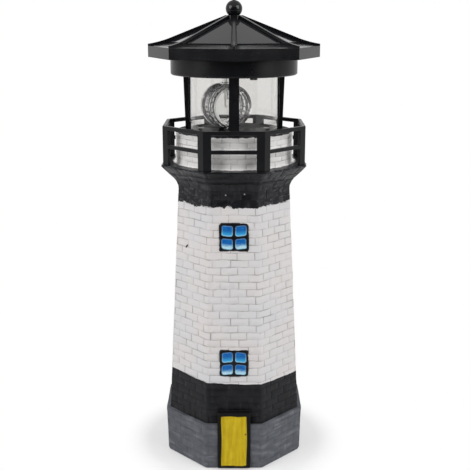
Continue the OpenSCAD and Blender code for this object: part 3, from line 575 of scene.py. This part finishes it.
def casting_paint():
    """Hand-brushed coats: each zone's colour ends at a wandering brush line. Dirt
    sits in the joints, the corbel's black has a painted sheen that is paler towards
    the sides, the drum's white is painted brighter than the shaft's as painted light
    against the shade under the railing, and there are two pale drips on the corbel
    and one dark chip on the left."""
    paint = Finish("casting_paint", (0.8, 0.79, 0.78), 0.62, Specular_IOR_Level=0.22)
    x, y, z = paint.axes()
    radius = (x * x + y * y).root()
    mortar = paint.marked("mortar")
    broad = paint.noise(38.0, 2)
    patchy = paint.noise(9.0, 4)
    fine = paint.noise(1.6, 3)
    ragged = paint.noise(4.2, 5) - 0.5
    slow = paint.noise(22.0, 1) - 0.5
    streak = paint.noise(3.0, 3, stretch=(1, 1, 0.25))

    white = paint.blend(broad.step(0.35, 0.7), (0.705, 0.67, 0.662), (0.668, 0.662, 0.675))
    white = paint.blend(patchy.step(0.55, 0.8) * 0.4, white, (0.70, 0.69, 0.62))
    dirt = paint.noise(13.0, 2).step(0.38, 0.66)
    grime = (mortar * (0.10 + paint.noise(4.0, 3).step(0.35, 0.7) * 0.35 + dirt * 0.5)).low(1.0)
    white = paint.blend(grime, white, (0.20, 0.18, 0.175))
    speck = fine.step(0.76, 0.79) * paint.noise(17.0, 1).step(0.6, 0.7)
    white = paint.blend(speck * 0.5, white, (0.25, 0.22, 0.2))

    black = paint.blend(patchy.step(0.35, 0.7), (0.0050, 0.0052, 0.0068), (0.010, 0.0104, 0.013))
    worn = (1 - mortar) * streak.step(0.5, 0.85) * 0.5
    black = paint.blend(worn, black, (0.034, 0.036, 0.043))

    grey = paint.blend(broad, (0.088, 0.094, 0.110), (0.112, 0.118, 0.132))
    # The plinth's grey is made lighter and darker in upright streaks.
    grey = paint.blend(streak.step(0.45, 0.75) * 0.5, grey, (0.150, 0.154, 0.168))
    upright_streaks = paint.noise(3.4, 4, stretch=(0.28, 0.28, 1))
    grey = paint.blend(upright_streaks.step(0.5, 0.72) * 0.55, grey, (0.205, 0.213, 0.24))
    grey = paint.blend(upright_streaks.step(0.48, 0.3) * 0.45, grey, (0.055, 0.058, 0.068))
    grey = paint.blend(mortar * 0.35, grey, (0.06, 0.063, 0.072))

    band_line = z + x * 0.035 + slow * 2.2 + ragged * 0.9 + 0.3
    frayed = paint.noise(1.7, 3) - 0.5
    corbel_line = z + slow * 4.0 + ragged * 5.5 + frayed * 2.6
    on_corbel = corbel_line.step(CORBEL_PAINT - 0.15, CORBEL_PAINT + 0.15)
    # Painted sheen: the corbel's black is painted paler in streaks towards the sides, where its gloss
    # catches the light.
    painted_sheen = paint.noise(2.3, 3, stretch=(0.6, 0.6, 1.3)).step(0.5, 0.72) * (1 - mortar)
    aside = x.size().step(14.0, 28.0)
    black = paint.blend(on_corbel * painted_sheen * aside * 0.8, black, (0.075, 0.078, 0.088))
    drum_line = z + ragged * 1.8 + frayed * 0.7
    coat = paint.blend(band_line.step(BAND_TOP - 0.15, BAND_TOP + 0.15), black, white)
    coat = paint.blend(on_corbel, coat, black)
    on_drum = (z - Z_LEDGE).step(-0.4, -0.1) * (radius + ragged * 5.5).step(DRUM_R + 2.0, DRUM_R + 1.6)
    # Painted light: the drum's white is brighter than the shaft's, to lift the shade that the railing and
    # roof cast on it.
    coat = paint.blend(on_drum, coat, paint.blend(grime, (0.95, 0.935, 0.92), (0.38, 0.36, 0.35)))
    coat = paint.blend(drum_line.step(Z_DECK - 0.55, Z_DECK - 0.25), coat, black)
    at_foot = (z + slow * 0.8).step(PLINTH_H + 0.35, PLINTH_H + 0.05)
    coat = paint.blend(at_foot, coat, grey)

    def off_spot(spot_x, spot_z):
        """The square of the distance from a spot, as seen from the front."""
        dx, dz = x - spot_x, z - spot_z
        return dx * dx + dz * dz

    up_chip = z - CHIP_Z
    along_chip, across_chip = up_chip * 0.45, x - CHIP_X - up_chip * 0.5
    chip = along_chip * along_chip + across_chip * across_chip + ragged * 0.8
    coat = paint.blend(chip.step(0.75, 0.35) * y.step(0.0, -20.0), coat, (0.02, 0.02, 0.022))
    drips = off_spot(*LEFT_DRIP).low(off_spot(*RIGHT_DRIP)) + ragged * 0.6
    coat = paint.blend(drips.step(0.36, 0.16) * y.step(0.0, -30.0), coat, (0.36, 0.35, 0.35))
    paint.feed("Base Color", coat)
    gloss = on_corbel * (1 - on_drum)
    gloss = gloss.high(band_line.step(BAND_TOP + 0.15, BAND_TOP - 0.15) * (1 - at_foot) * 0.5)
    paint.feed("Roughness", 0.5 + patchy * 0.3 + mortar * 0.15 - gloss * 0.3)
    paint.relief(fine * 0.6 + streak * 0.4 + gloss * paint.noise(2.8, 3) * 2.2, 0.14)
    return paint


tower = cast_tower()
tower_paint = casting_paint()
tower.data.materials.append(tower_paint.material)
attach(tower, "tower")
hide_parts("tower_casting")

# ---- Windows ----------------------------------------------------------------
# Cast in relief with the tower: a black-painted frame and cross bar round four
# pillowed panes, painted blue and wiped with white towards their lower edges.

WINDOW_W = 22.6
WINDOW_H = 21.8
WINDOW_LOW = 88.2
WINDOW_PITCH = 99.3
WINDOW_BORDER = 1.7
GLAZING_BAR = 1.4
WINDOW_PROUD = 0.7
WINDOW_DEEP = 1.6
WINDOW_TRIM = 0.25
WINDOW_CORNER = 1.9
PANE_CORNER = 2.0
SHAFT_LEAN = math.atan((SHAFT_FOOT - SHAFT_NECK) / (Z_NECK - PLINTH_H))


def smooth_step(value, start, end):
    """0 below start, 1 above end, and the cubic ramp between them."""
    share = np.clip((value - start) / (end - start), 0, 1)
    return share * share * (3 - 2 * share)


def rounded_box_distance(x, z, half_w, half_h, corner):
    """How far a point lies outside a rounded rectangle; negative inside."""
    qx = np.abs(x) - half_w + corner
    qz = np.abs(z) - half_h + corner
    outside = np.hypot(np.maximum(qx, 0), np.maximum(qz, 0))
    return outside + np.minimum(np.maximum(qx, qz), 0) - corner


def slab(name, front, back, marks):
    """A closed piece: a front grid, a back grid, and walls along their rims."""
    rows, columns = front.shape[:2]
    count = rows * columns
    index = np.arange(count).reshape(rows, columns)
    quads = np.stack([index[:-1, :-1], index[:-1, 1:], index[1:, 1:], index[1:, :-1]], -1)
    quads = quads.reshape(-1, 4)
    rim = np.concatenate([index[0], index[1:, -1], index[-1, -2::-1], index[-2:0:-1, 0]])
    after = np.roll(rim, -1)
    walls = np.stack([rim, rim + count, after + count, after], -1)
    mesh = bpy.data.meshes.new(name)
    points = np.concatenate([front.reshape(-1, 3), back.reshape(-1, 3)]) * MM
    mesh.from_pydata(points, [], np.concatenate([quads, quads[:, ::-1] + count, walls]).tolist())
    mark_points(mesh, {mark: np.tile(values.ravel(), 2) for mark, values in marks.items()})
    return finish_mesh(mesh, name, smooth=50)


def window_piece(name, middle_z, seed):
    """A window on the leaning front wall.

    Slow waves warp the grid and cut its outline, as a hand would. Its height over
    the wall is the frame's, less the panes, which are low pillows: each rises
    from its rim to its middle.
    """
    dice = np.random.default_rng(seed)
    across = np.linspace(-1, 1, 71) * WINDOW_W / 2
    up = np.linspace(-1, 1, 69) * WINDOW_H / 2
    x, z = np.meshgrid(across, up)
    p = dice.uniform(0, 6.28, 4)
    near = 1 - smooth_step(np.maximum(np.abs(x) / WINDOW_W, np.abs(z) / WINDOW_H) * 2, 0.35, 1)
    wx = x + 0.22 * np.sin(z * 0.38 + p[0]) + 0.1 * np.sin(z * 0.9 + p[1])
    wz = z + 0.22 * np.sin(x * 0.35 + p[2]) + 0.1 * np.sin(x * 0.8 + p[3])
    cut_x = x + 0.3 * np.sin(z * 0.31 + p[1]) + 0.13 * np.sin(z * 1.3 + p[2])
    cut_z = z + 0.3 * np.sin(x * 0.28 + p[3]) + 0.13 * np.sin(x * 1.2 + p[0])
    half_w, half_h = WINDOW_W / 2 - WINDOW_TRIM, WINDOW_H / 2 - WINDOW_TRIM
    corner = rounded_box_distance(cut_x, cut_z, half_w, half_h, WINDOW_CORNER)
    pane_w = (WINDOW_W - 2 * WINDOW_BORDER - GLAZING_BAR) / 2
    pane_h = (WINDOW_H - 2 * WINDOW_BORDER - GLAZING_BAR) / 2
    pane_x, pane_z = (pane_w + GLAZING_BAR) / 2, (pane_h + GLAZING_BAR) / 2
    px, pz = np.abs(wx) - pane_x, np.abs(wz) - pane_z
    rim = rounded_box_distance(px, pz, pane_w / 2, pane_h / 2, PANE_CORNER)
    pane = smooth_step(-rim, 0.0, 0.7)
    pillow = np.clip(-rim / (pane_w / 2), 0, 1)
    height = WINDOW_PROUD * (1 - pane) + pane * (0.05 + 0.42 * np.sqrt(pillow))
    height = height * smooth_step(-corner, -0.1, 0.8) - 0.5 * smooth_step(corner, -0.2, 0.6)
    sin, cos = math.sin(SHAFT_LEAN), math.cos(SHAFT_LEAN)
    wall = SHAFT_FOOT - (middle_z - PLINTH_H) * math.tan(SHAFT_LEAN)

    def placed(out):
        """The grid's points, that far out of the wall and leaning back with it."""
        depth = -wall - out * cos + z * sin
        return np.stack([wx * near + x * (1 - near), depth, middle_z + z * cos + out * sin], -1)

    marks = {
        "pane": smooth_step(-rim, 0.1, 0.5),
        "rise": np.where(wz > 0, wz - pane_z, wz + pane_z) / (pane_h / 2),
        "inward": pillow,
        "lower": (wz < 0).astype(float),
    }
    return slab(name, placed(height), placed(np.full_like(height, -WINDOW_DEEP)), marks)


def window_paint():
    """Black frame; panes deep blue at the top, cyan and white along their foot."""
    paint = Finish("window_paint", (0.01, 0.01, 0.012), 0.35, Specular_IOR_Level=0.2)
    pane = paint.marked("pane")
    rise = paint.marked("rise")
    inward = paint.marked("inward")
    lower = paint.marked("lower")
    brushed = paint.noise(2.6, 3, stretch=(1, 1, 2.2)) - 0.5
    level = rise + brushed * 0.9
    deep = paint.blend(brushed.step(-0.1, 0.2), (0.005, 0.10, 0.37), (0.009, 0.175, 0.53))
    bright = paint.blend(level.step(0.2, -0.9), deep, (0.045, 0.40, 0.74))
    wiped = paint.blend(level.step(0.1, -0.9) * lower * 0.9, bright, (0.62, 0.84, 0.90))
    edge = inward.step(0.30, 0.08) * (0.3 + level.step(0.3, -0.9) * 0.6)
    glass = paint.blend(edge.low(1.0), wiped, (0.36, 0.66, 0.83))
    frame_black = paint.blend(brushed.step(-0.2, 0.3), (0.003, 0.003, 0.0045), (0.008, 0.008, 0.011))
    paint.feed("Base Color", paint.blend(pane, frame_black, glass))
    paint.feed("Roughness", 0.3 + brushed * 0.12 + pane * 0.04)
    paint.relief(paint.noise(0.9, 2), 0.06)
    return paint


pane_paint = window_paint()
for name, middle, seed in (
    ("lower_window", WINDOW_LOW, 7),
    ("upper_window", WINDOW_LOW + WINDOW_PITCH, 8),
):
    piece = window_piece(name, middle, seed)
    piece.data.materials.append(pane_paint.material)
    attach(piece, "tower")

# ---- Door ---------------------------------------------------------------------
# Cast in relief on the plinth and painted: a yellow leaf, brushed upright, sunk
# in a broad black surround that stands over the plinth's top edge.

DOOR_W = 20.2
DOOR_TOP = 46.2
DOOR_STEP = 3.4
DOOR_FOOT = 1.7
DOOR_BORDER = 2.8
DOOR_FRONT = 56.0
DOOR_SUNK = 0.9
DOOR_BACK = 50.8
BOARDS = 3
LATCH = (9.0, 30.5)


def door_piece():
    """The front is a height field: the surround, and the leaf sunk in it with
    BOARDS upright boards and soft arrises."""
    half = DOOR_W / 2 + DOOR_BORDER
    top = DOOR_TOP + DOOR_BORDER
    x, z = np.meshgrid(np.linspace(-half, half, 90), np.linspace(DOOR_FOOT, top, 150))
    wx = x + 0.25 * np.sin(z * 0.16 + 0.6)
    wz = z + 0.2 * np.sin(x * 0.4)
    middle = (DOOR_TOP + DOOR_STEP) / 2
    leaf = -rounded_box_distance(wx, wz - middle, DOOR_W / 2, (DOOR_TOP - DOOR_STEP) / 2, 1.0)
    sunk = DOOR_SUNK * smooth_step(leaf, -0.2, 0.7)
    groove = np.exp(-(((np.abs(x) - DOOR_W / (2 * BOARDS)) / 0.35) ** 2))
    boards = 0.14 * groove * smooth_step(leaf, 0.4, 1.2)
    edge = rounded_box_distance(x, z - top / 2 + 4, half, top / 2 + 4, 1.6)
    fall = 1.3 * smooth_step(edge, -1.1, 0.6) ** 1.5
    depth = sunk + boards + fall + 0.08 * np.sin(x * 0.7 + z * 0.21)
    front = np.stack([x, -DOOR_FRONT + 0.1 + depth, z], -1)
    back = np.stack([x, np.full_like(x, -DOOR_BACK), z], -1)
    return slab("front_door", front, back, {"leaf": smooth_step(leaf, 0.05, 0.4)})


def door_paint():
    """Yellow brushed upright, with a dark latch spot; a black surround."""
    paint = Finish("door_paint", (0.45, 0.33, 0.02), 0.5, Specular_IOR_Level=0.15)
    leaf = paint.marked("leaf")
    x, _, z = paint.axes()
    strokes = paint.noise(2.4, 4, stretch=(1, 1, 0.12))
    patchy = paint.noise(8.0, 3)
    yellow = paint.blend(strokes.step(0.3, 0.75), (0.50, 0.345, 0.007), (0.66, 0.49, 0.014))
    yellow = paint.blend(patchy.step(0.45, 0.75) * 0.4, yellow, (0.70, 0.54, 0.03))
    dx, dz = x - LATCH[0], z - LATCH[1]
    latch = (dx * dx + dz * dz).root().step(1.1, 0.5)
    yellow = paint.blend(latch * 0.75, yellow, (0.05, 0.035, 0.01))
    black = paint.blend(patchy, (0.002, 0.002, 0.0022), (0.0065, 0.0062, 0.0065))
    paint.feed("Base Color", paint.blend(leaf, black, yellow))
    paint.feed("Roughness", 0.38 + strokes * 0.25)
    paint.relief(strokes * 0.7 + patchy * 0.3, 0.16)
    return paint


door = door_piece()
door.data.materials.append(door_paint().material)
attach(door, "tower")

# ---- Gallery railing -----------------------------------------------------------
# One moulding in black plastic: eight folded corner posts with a top and a middle
# rail. It stands on the ledge and has the soft arrises of a moulding.


def rounded_copy(node, width, angle=30):
    """The node's own shape with its arrises rounded: triangles are merged, flat
    faces joined, and a Bevel of that width in millimetres runs along the edges
    that are sharper than angle. Width 0 leaves them sharp."""
    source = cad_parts[node]
    mesh = source.data.copy()
    shape = bmesh.new()
    shape.from_mesh(mesh)
    bmesh.ops.remove_doubles(shape, verts=shape.verts, dist=1e-6)
    bmesh.ops.dissolve_limit(
        shape,
        angle_limit=math.radians(1.0),
        verts=shape.verts,
        edges=shape.edges,
        use_dissolve_boundaries=False,
    )
    shape.to_mesh(mesh)
    shape.free()
    mesh.polygons.foreach_set("use_smooth", np.ones(len(mesh.polygons), bool))
    if not width:
        mesh.set_sharp_from_angle(angle=math.radians(angle))
    mesh.materials.clear()
    piece = bpy.data.objects.new(node + "_finished", mesh)
    bpy.context.scene.collection.objects.link(piece)
    if width:
        bevel = piece.modifiers.new("arris", "BEVEL")
        bevel.width = width * MM
        bevel.segments = 2
        bevel.limit_method = "ANGLE"
        bevel.angle_limit = math.radians(angle)
        shading = piece.modifiers.new("flat_faces", "WEIGHTED_NORMAL")
        shading.mode = "FACE_AREA"
        shading.weight = 100
    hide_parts(node)
    return piece


def moulded_black(name, roughness, spread, grain, shine=0.4):
    """Black moulded plastic: a gloss that varies by spread with handling haze, a
    moulded texture of that grain in millimetres, and dull dust."""
    plastic = Finish(name, (0.012, 0.0125, 0.014), roughness, Specular_IOR_Level=shine)
    haze = plastic.noise(14.0, 3)
    fine = plastic.noise(grain, 2)
    dust = plastic.noise(2.2, 4).step(0.62, 0.8) * 0.25
    tone = plastic.blend(haze, (0.0045, 0.0048, 0.0058), (0.0085, 0.0088, 0.0102))
    plastic.feed("Base Color", plastic.blend(dust, tone, (0.026, 0.027, 0.029)))
    plastic.feed("Roughness", roughness + (haze - 0.5) * spread + dust * 0.3)
    plastic.relief(fine, 0.012)
    return plastic


rail_black = moulded_black("railing_plastic", 0.34, 0.25, 0.8, shine=0.25)
railing = rounded_copy("gallery_railing", 0.35)
railing.data.materials.append(rail_black.material)
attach(railing, "tower")

# ---- Lantern cage and glazing ---------------------------------------------------
# The cage is one black moulding: a cup that holds the works, with four mullions
# pegged into the deck. The glazing is a clear moulded tube inside the mullions.

cage_black = moulded_black("cage_plastic", 0.3, 0.2, 0.7, shine=0.24)
cage = rounded_copy("lantern_cage", 0.3, angle=40)
cage.data.materials.append(cage_black.material)
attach(cage, "tower")


def clear_plastic(name, tint, roughness):
    """Clear moulded plastic; faint dust varies how sharply it shows things."""
    clear = Finish(name, tint, roughness, IOR=1.49, Transmission_Weight=1.0)
    dust = clear.noise(3.0, 4).step(0.55, 0.85)
    clear.feed("Roughness", roughness + dust * 0.05)
    return clear


glazing_clear = clear_plastic("glazing_plastic", (0.84, 0.832, 0.82), 0.01)
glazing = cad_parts["glazing_tube"]
glazing.data.materials.clear()
glazing.data.materials.append(glazing_clear.material)

# ---- Foot plate and its screws ---------------------------------------------------
# A black moulded disc that carries the steel pivot under the lens. Two plated
# screws hold it down on the deck.

plate = rounded_copy("lens_foot_plate", 0.3, angle=40)
plate_black = moulded_black("foot_plate_plastic", 0.42, 0.2, 3.0, shine=0.04)
plate.data.materials.append(plate_black.material)
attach(plate, "tower")


def plated_steel():
    """Bright plated steel, duller in small patches."""
    steel = Finish("plated_steel", (0.56, 0.56, 0.57), 0.32, Metallic=1.0)
    worn = steel.noise(2.0, 4)
    steel.feed("Base Color", steel.blend(worn, (0.45, 0.45, 0.46), (0.66, 0.66, 0.66)))
    steel.feed("Roughness", 0.22 + worn * 0.25)
    steel.relief(steel.noise(0.4, 2), 0.01)
    return steel


def dress(finish, *nodes):
    """Gives CAD nodes that keep their own shape a finish."""
    for node in nodes:
        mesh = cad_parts[node].data
        mesh.materials.clear()
        mesh.materials.append(finish.material)


dress(
    plated_steel(),
    "foot_plate_screws",
    "lens_pivot",
    "motor_shaft",
    "drive_plate_screws",
    "board_screws",
)

# ---- Beacon lens ------------------------------------------------------------------
# A clear drum on its side with a stepped lens in each end, moulded in acrylic. It
# turns on the foot plate's pivot, and its hub goes up through the collar's floor
# to the gear.

LENS_R = 16.6
LENS_HALF = 11.3
LENS_WALL = 1.6
LENS_YAW = math.radians(25)
BEACON_OFF = 6.2
FLUTES = 24
FLUTE_DEEP = 0.3
HUB_R = 3.2
HUB_BORE_R = 2.2
PIVOT_HOLE_R = 1.06
STEP_R = 13.1
STEP_PITCH = 0.9
LENS_SMOOTH = 35
ON_AXIS = 1e-4
lens_low, lens_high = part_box("front_lens")
Z_LENS = (lens_low[2] + lens_high[2]) / 2 / MM
LENS_MIDDLE = (-BEACON_OFF, 0, Z_LENS)
Z_HUB_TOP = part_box("lens_drum")[1][2] / MM


def turned(name, profile, fluted=0.0, steps=240, lying=True):
    """A closed turned piece: a closed profile of radius and height carried round
    the lens's middle.

    fluted is 1 at the profile's points that are fluted: there the radius falls by
    FLUTE_DEEP times the square of the sine of FLUTES half turns. A lying piece
    has the drum's own axis, a standing one an upright axis.
    """
    profile = np.array(profile, float)
    turn = np.arange(steps) * 2 * math.pi / steps
    wave = np.broadcast_to(fluted, len(profile))[:, None]
    radius = profile[:, :1] - wave * FLUTE_DEEP * np.sin(turn * FLUTES / 2) ** 2
    across, up = radius * np.cos(turn), radius * np.sin(turn)
    along = np.repeat(profile[:, 1:], steps, axis=1)
    if lying:
        sin, cos = math.sin(LENS_YAW), math.cos(LENS_YAW)
        grid = np.stack([across * cos + along * sin, across * sin - along * cos, up], -1)
    else:
        grid = np.stack([across, up, along], -1)
    grid = (grid + LENS_MIDDLE) * MM
    index = np.arange(len(profile) * steps).reshape(len(profile), steps)
    beside, above = np.roll(index, -1, axis=1), np.roll(index, -1, axis=0)
    quads = np.stack([index, beside, np.roll(above, -1, axis=1), above], -1)
    mesh = bpy.data.meshes.new(name)
    mesh.from_pydata(grid.reshape(-1, 3), [], quads.reshape(-1, 4).tolist())
    return finish_mesh(mesh, name, smooth=LENS_SMOOTH)


def drilled(piece, holes):
    """Cuts round holes into a piece, each by a standing cutter that then goes."""
    for hole in holes:
        cut = piece.modifiers.new("hole", "BOOLEAN")
        cut.operation = "DIFFERENCE"
        cut.solver = "EXACT"
        cut.object = hole
        bpy.context.view_layer.update()
        cut_piece = piece.evaluated_get(bpy.context.evaluated_depsgraph_get())
        mesh = bpy.data.meshes.new_from_object(cut_piece)
        piece.modifiers.remove(cut)
        piece.data = mesh
        bpy.data.objects.remove(hole)
    piece.data.polygons.foreach_set("use_smooth", np.ones(len(piece.data.polygons), bool))
    piece.data.set_sharp_from_angle(angle=math.radians(LENS_SMOOTH))
    return piece


def rod(radius, low, high):
    """A standing round cutter on the beacon's axis, closed to a point at both ends."""
    profile = [(ON_AXIS, low), (radius, low), (radius, high), (ON_AXIS, high)]
    return turned("cutter", profile, steps=48, lying=False)


def lens_pieces():
    """The barrel has a bead round each end, an arched waist between them, and
    lengthwise flutes inside. Each end lens is clear and flat in its middle, with
    fine steps near its rim. The hub is a flanged tube that stands on the barrel."""
    r, half, wall = LENS_R, LENS_HALF - LENS_WALL, LENS_WALL
    inside = r - wall
    arch = np.linspace(-1, 1, 13)
    outer_end = [(r - 0.5, half - 2.7), (r, half - 2.2), (r, half - 0.5), (r - 0.5, half)]
    inner_end = [(inside, half), (inside - 1.1, half - 1.4), (inside - 1.3, half - 2.4)]
    profile = [
        *((a, -b) for a, b in outer_end[::-1]),
        *((r - 1.0 - 0.5 * (1 - a * a), a * (half - 3.1)) for a in arch),
        *outer_end,
        *inner_end,
        *((inside - 0.9 - 0.6 * a * a, a * (half - 3.1)) for a in arch[::-1]),
        *((a, -b) for a, b in inner_end[::-1]),
    ]
    barrel = turned("lens_barrel", profile, fluted=[0] * 24 + [1] * 13 + [0] * 3)
    barrel = drilled(barrel, [rod(HUB_BORE_R, r - 6, r + 6), rod(PIVOT_HOLE_R, -r - 6, -r + 6)])
    top, flange = Z_HUB_TOP - Z_LENS, HUB_R + 1.2
    profile = [
        (HUB_BORE_R, r - 0.55), (flange - 0.3, r - 0.55), (flange, r - 0.2), (flange, r + 0.9),
        (flange - 0.3, r + 1.2), (HUB_R, r + 1.2), (HUB_R, top), (HUB_BORE_R, top),
    ]
    hub = turned("lens_hub", profile, steps=64, lying=False)
    low, face = half + 0.05, half + 1.25
    steps = []
    for inner in (STEP_R, STEP_R + STEP_PITCH):
        steps += [(inner, face), (inner + 0.72, half + 0.85), (inner + 0.78, face)]
    profile = [
        (ON_AXIS, low), (inside - 0.05, low), (r - 0.3, low), (r, half + 0.35),
        (r, half + 1.2), (r - 0.4, half + wall), (inside + 0.2, half + wall),
        (inside - 0.15, face), *steps[::-1], (STEP_R - 0.7, face), (ON_AXIS, face),
    ]
    front = turned("front_lens_turned", profile)
    rear = turned("rear_lens_turned", [(a, -b) for a, b in profile])
    return barrel, hub, front, rear


def barrel_finish():
    """Clear acrylic with painted reflections: dark bands that stand for the black
    surroundings mirrored in it, rings along the barrel's axis, broken by noise,
    and painted shade towards its top."""
    acrylic = clear_plastic("barrel_acrylic", (0.9, 0.9, 0.9), 0.01)
    x, y, z = acrylic.axes()
    along = (x + BEACON_OFF) * math.sin(LENS_YAW) - y * math.cos(LENS_YAW)
    band_wobble = acrylic.noise(6.0, 3)
    # Painted reflections: the dark bands stand for the black surroundings mirrored in the clear barrel.
    band = (along * 0.85 + band_wobble * 3.0 - 0.6).math("SINE").step(0.45, 0.6)
    tone = acrylic.blend(band, (1.0, 1.0, 1.0), (0.015, 0.015, 0.02))
    # Painted shade: darker patches towards the top, under the collar.
    shade = (z - Z_LENS).step(4.0, 8.0) * acrylic.noise(7.0, 2).step(0.44, 0.54)
    acrylic.feed("Base Color", acrylic.blend(shade * 0.9, tone, (0.03, 0.03, 0.035)))
    return acrylic


lens_clear = clear_plastic("lens_acrylic", (0.95, 0.955, 0.95), 0.01)
barrel, hub, front_lens, rear_lens = lens_pieces()
for piece, finish in (
    (barrel, barrel_finish()),
    (hub, lens_clear),
    (front_lens, lens_clear),
    (rear_lens, lens_clear),
):
    piece.data.materials.clear()
    piece.data.materials.append(finish.material)
    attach(piece, "beacon")
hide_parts("lens_drum")
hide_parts("front_lens")
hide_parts("rear_lens")

# ---- Drive, lamp and power ----------------------------------------------------------
# The works in the collar: nylon gears, a geared motor on its plate, the lamp in
# its clear tube, the circuit board with the switch, and the cell in its holder.


def plain_moulding(name, dark, light, roughness, grain=6.0):
    """A moulded or coated surface: two close tones in soft patches, fine texture."""
    coat = Finish(name, light, roughness)
    patches = coat.noise(grain, 3)
    coat.feed("Base Color", coat.blend(patches.step(0.3, 0.7), dark, light))
    coat.feed("Roughness", roughness + (patches - 0.5) * 0.2)
    coat.relief(coat.noise(0.5, 2), 0.02)
    return coat


nylon = plain_moulding("white_nylon", (0.74, 0.72, 0.66), (0.82, 0.80, 0.75), 0.45)
dress(nylon, "beacon_gear", "motor_pinion")
dress(lens_clear, "lamp_tube")
dress(plain_moulding("motor_case", (0.42, 0.42, 0.43), (0.52, 0.52, 0.53), 0.35), "geared_motor")
works_black = plain_moulding("works_black", (0.022, 0.022, 0.024), (0.035, 0.035, 0.038), 0.5)
dress(works_black, "drive_plate", "cell_holder", "board_parts", "switch_body", "switch_knob")
dress(plain_moulding("solder_mask", (0.012, 0.11, 0.045), (0.02, 0.16, 0.06), 0.35), "circuit_board")
sleeve = plain_moulding("cell_sleeve", (0.035, 0.23, 0.09), (0.05, 0.30, 0.12), 0.3, grain=20.0)
dress(sleeve, "rechargeable_cell")
nickel = plain_moulding("nickel_contact", (0.6, 0.58, 0.52), (0.72, 0.70, 0.64), 0.3)
dress(nickel, "plus_contact", "minus_contact")
dress(plain_moulding("plug_rubber", (0.018, 0.018, 0.018), (0.032, 0.032, 0.032), 0.8), "pour_plug")
foam = plain_moulding("gasket_foam", (0.03, 0.03, 0.03), (0.06, 0.06, 0.06), 0.95, grain=1.5)
dress(foam, "lid_gasket")
dress(clear_plastic("lamp_epoxy", (0.97, 0.965, 0.95), 0.03), "beacon_led")

# ---- Roof -----------------------------------------------------------------------------
# One black gloss moulding with eight ribs that flare out over the eaves; it lifts
# off with its skirt. A thin solar panel is let into each facet.

roof_black = moulded_black("roof_plastic", 0.16, 0.12, 1.2)
roof = rounded_copy("roof_shell", 0.3, angle=25)
roof.data.materials.append(roof_black.material)
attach(roof, "roof")


def solar_finish():
    """Dark thin-film cells under clear resin: faintly cloudy, with mirror gloss."""
    cell = Finish("solar_film", (0.014, 0.015, 0.018), 0.06)
    cloud = cell.noise(9.0, 3)
    tone = cell.blend(cloud, (0.009, 0.0095, 0.0115), (0.018, 0.0185, 0.021))
    cell.feed("Base Color", tone)
    cell.feed("Roughness", 0.05 + cloud * 0.06)
    return cell


PANEL_PROUD = 0.6


def proud_panels():
    """The panels with their clear doming: each top face is lifted along its own
    normal by PANEL_PROUD, so that it mirrors over the ribs."""
    piece = rounded_copy("solar_panels", 0.25, angle=40)
    shape = bmesh.new()
    shape.from_mesh(piece.data)
    shape.normal_update()
    for face in [f for f in shape.faces if f.normal.z > 0.8]:
        for point in face.verts:
            point.co += face.normal * PANEL_PROUD * MM
    shape.to_mesh(piece.data)
    shape.free()
    return piece


panels = proud_panels()
panels.data.materials.append(solar_finish().material)
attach(panels, "roof")

# ---- Finial -----------------------------------------------------------------------------
# A moulded black ball with a small tip. Its spigot is pushed into the landing on
# top of the roof, so it comes off with the roof.

finial = rounded_copy("finial_ball", 0, angle=35)
finial.data.materials.append(roof_black.material)
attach(finial, "roof")
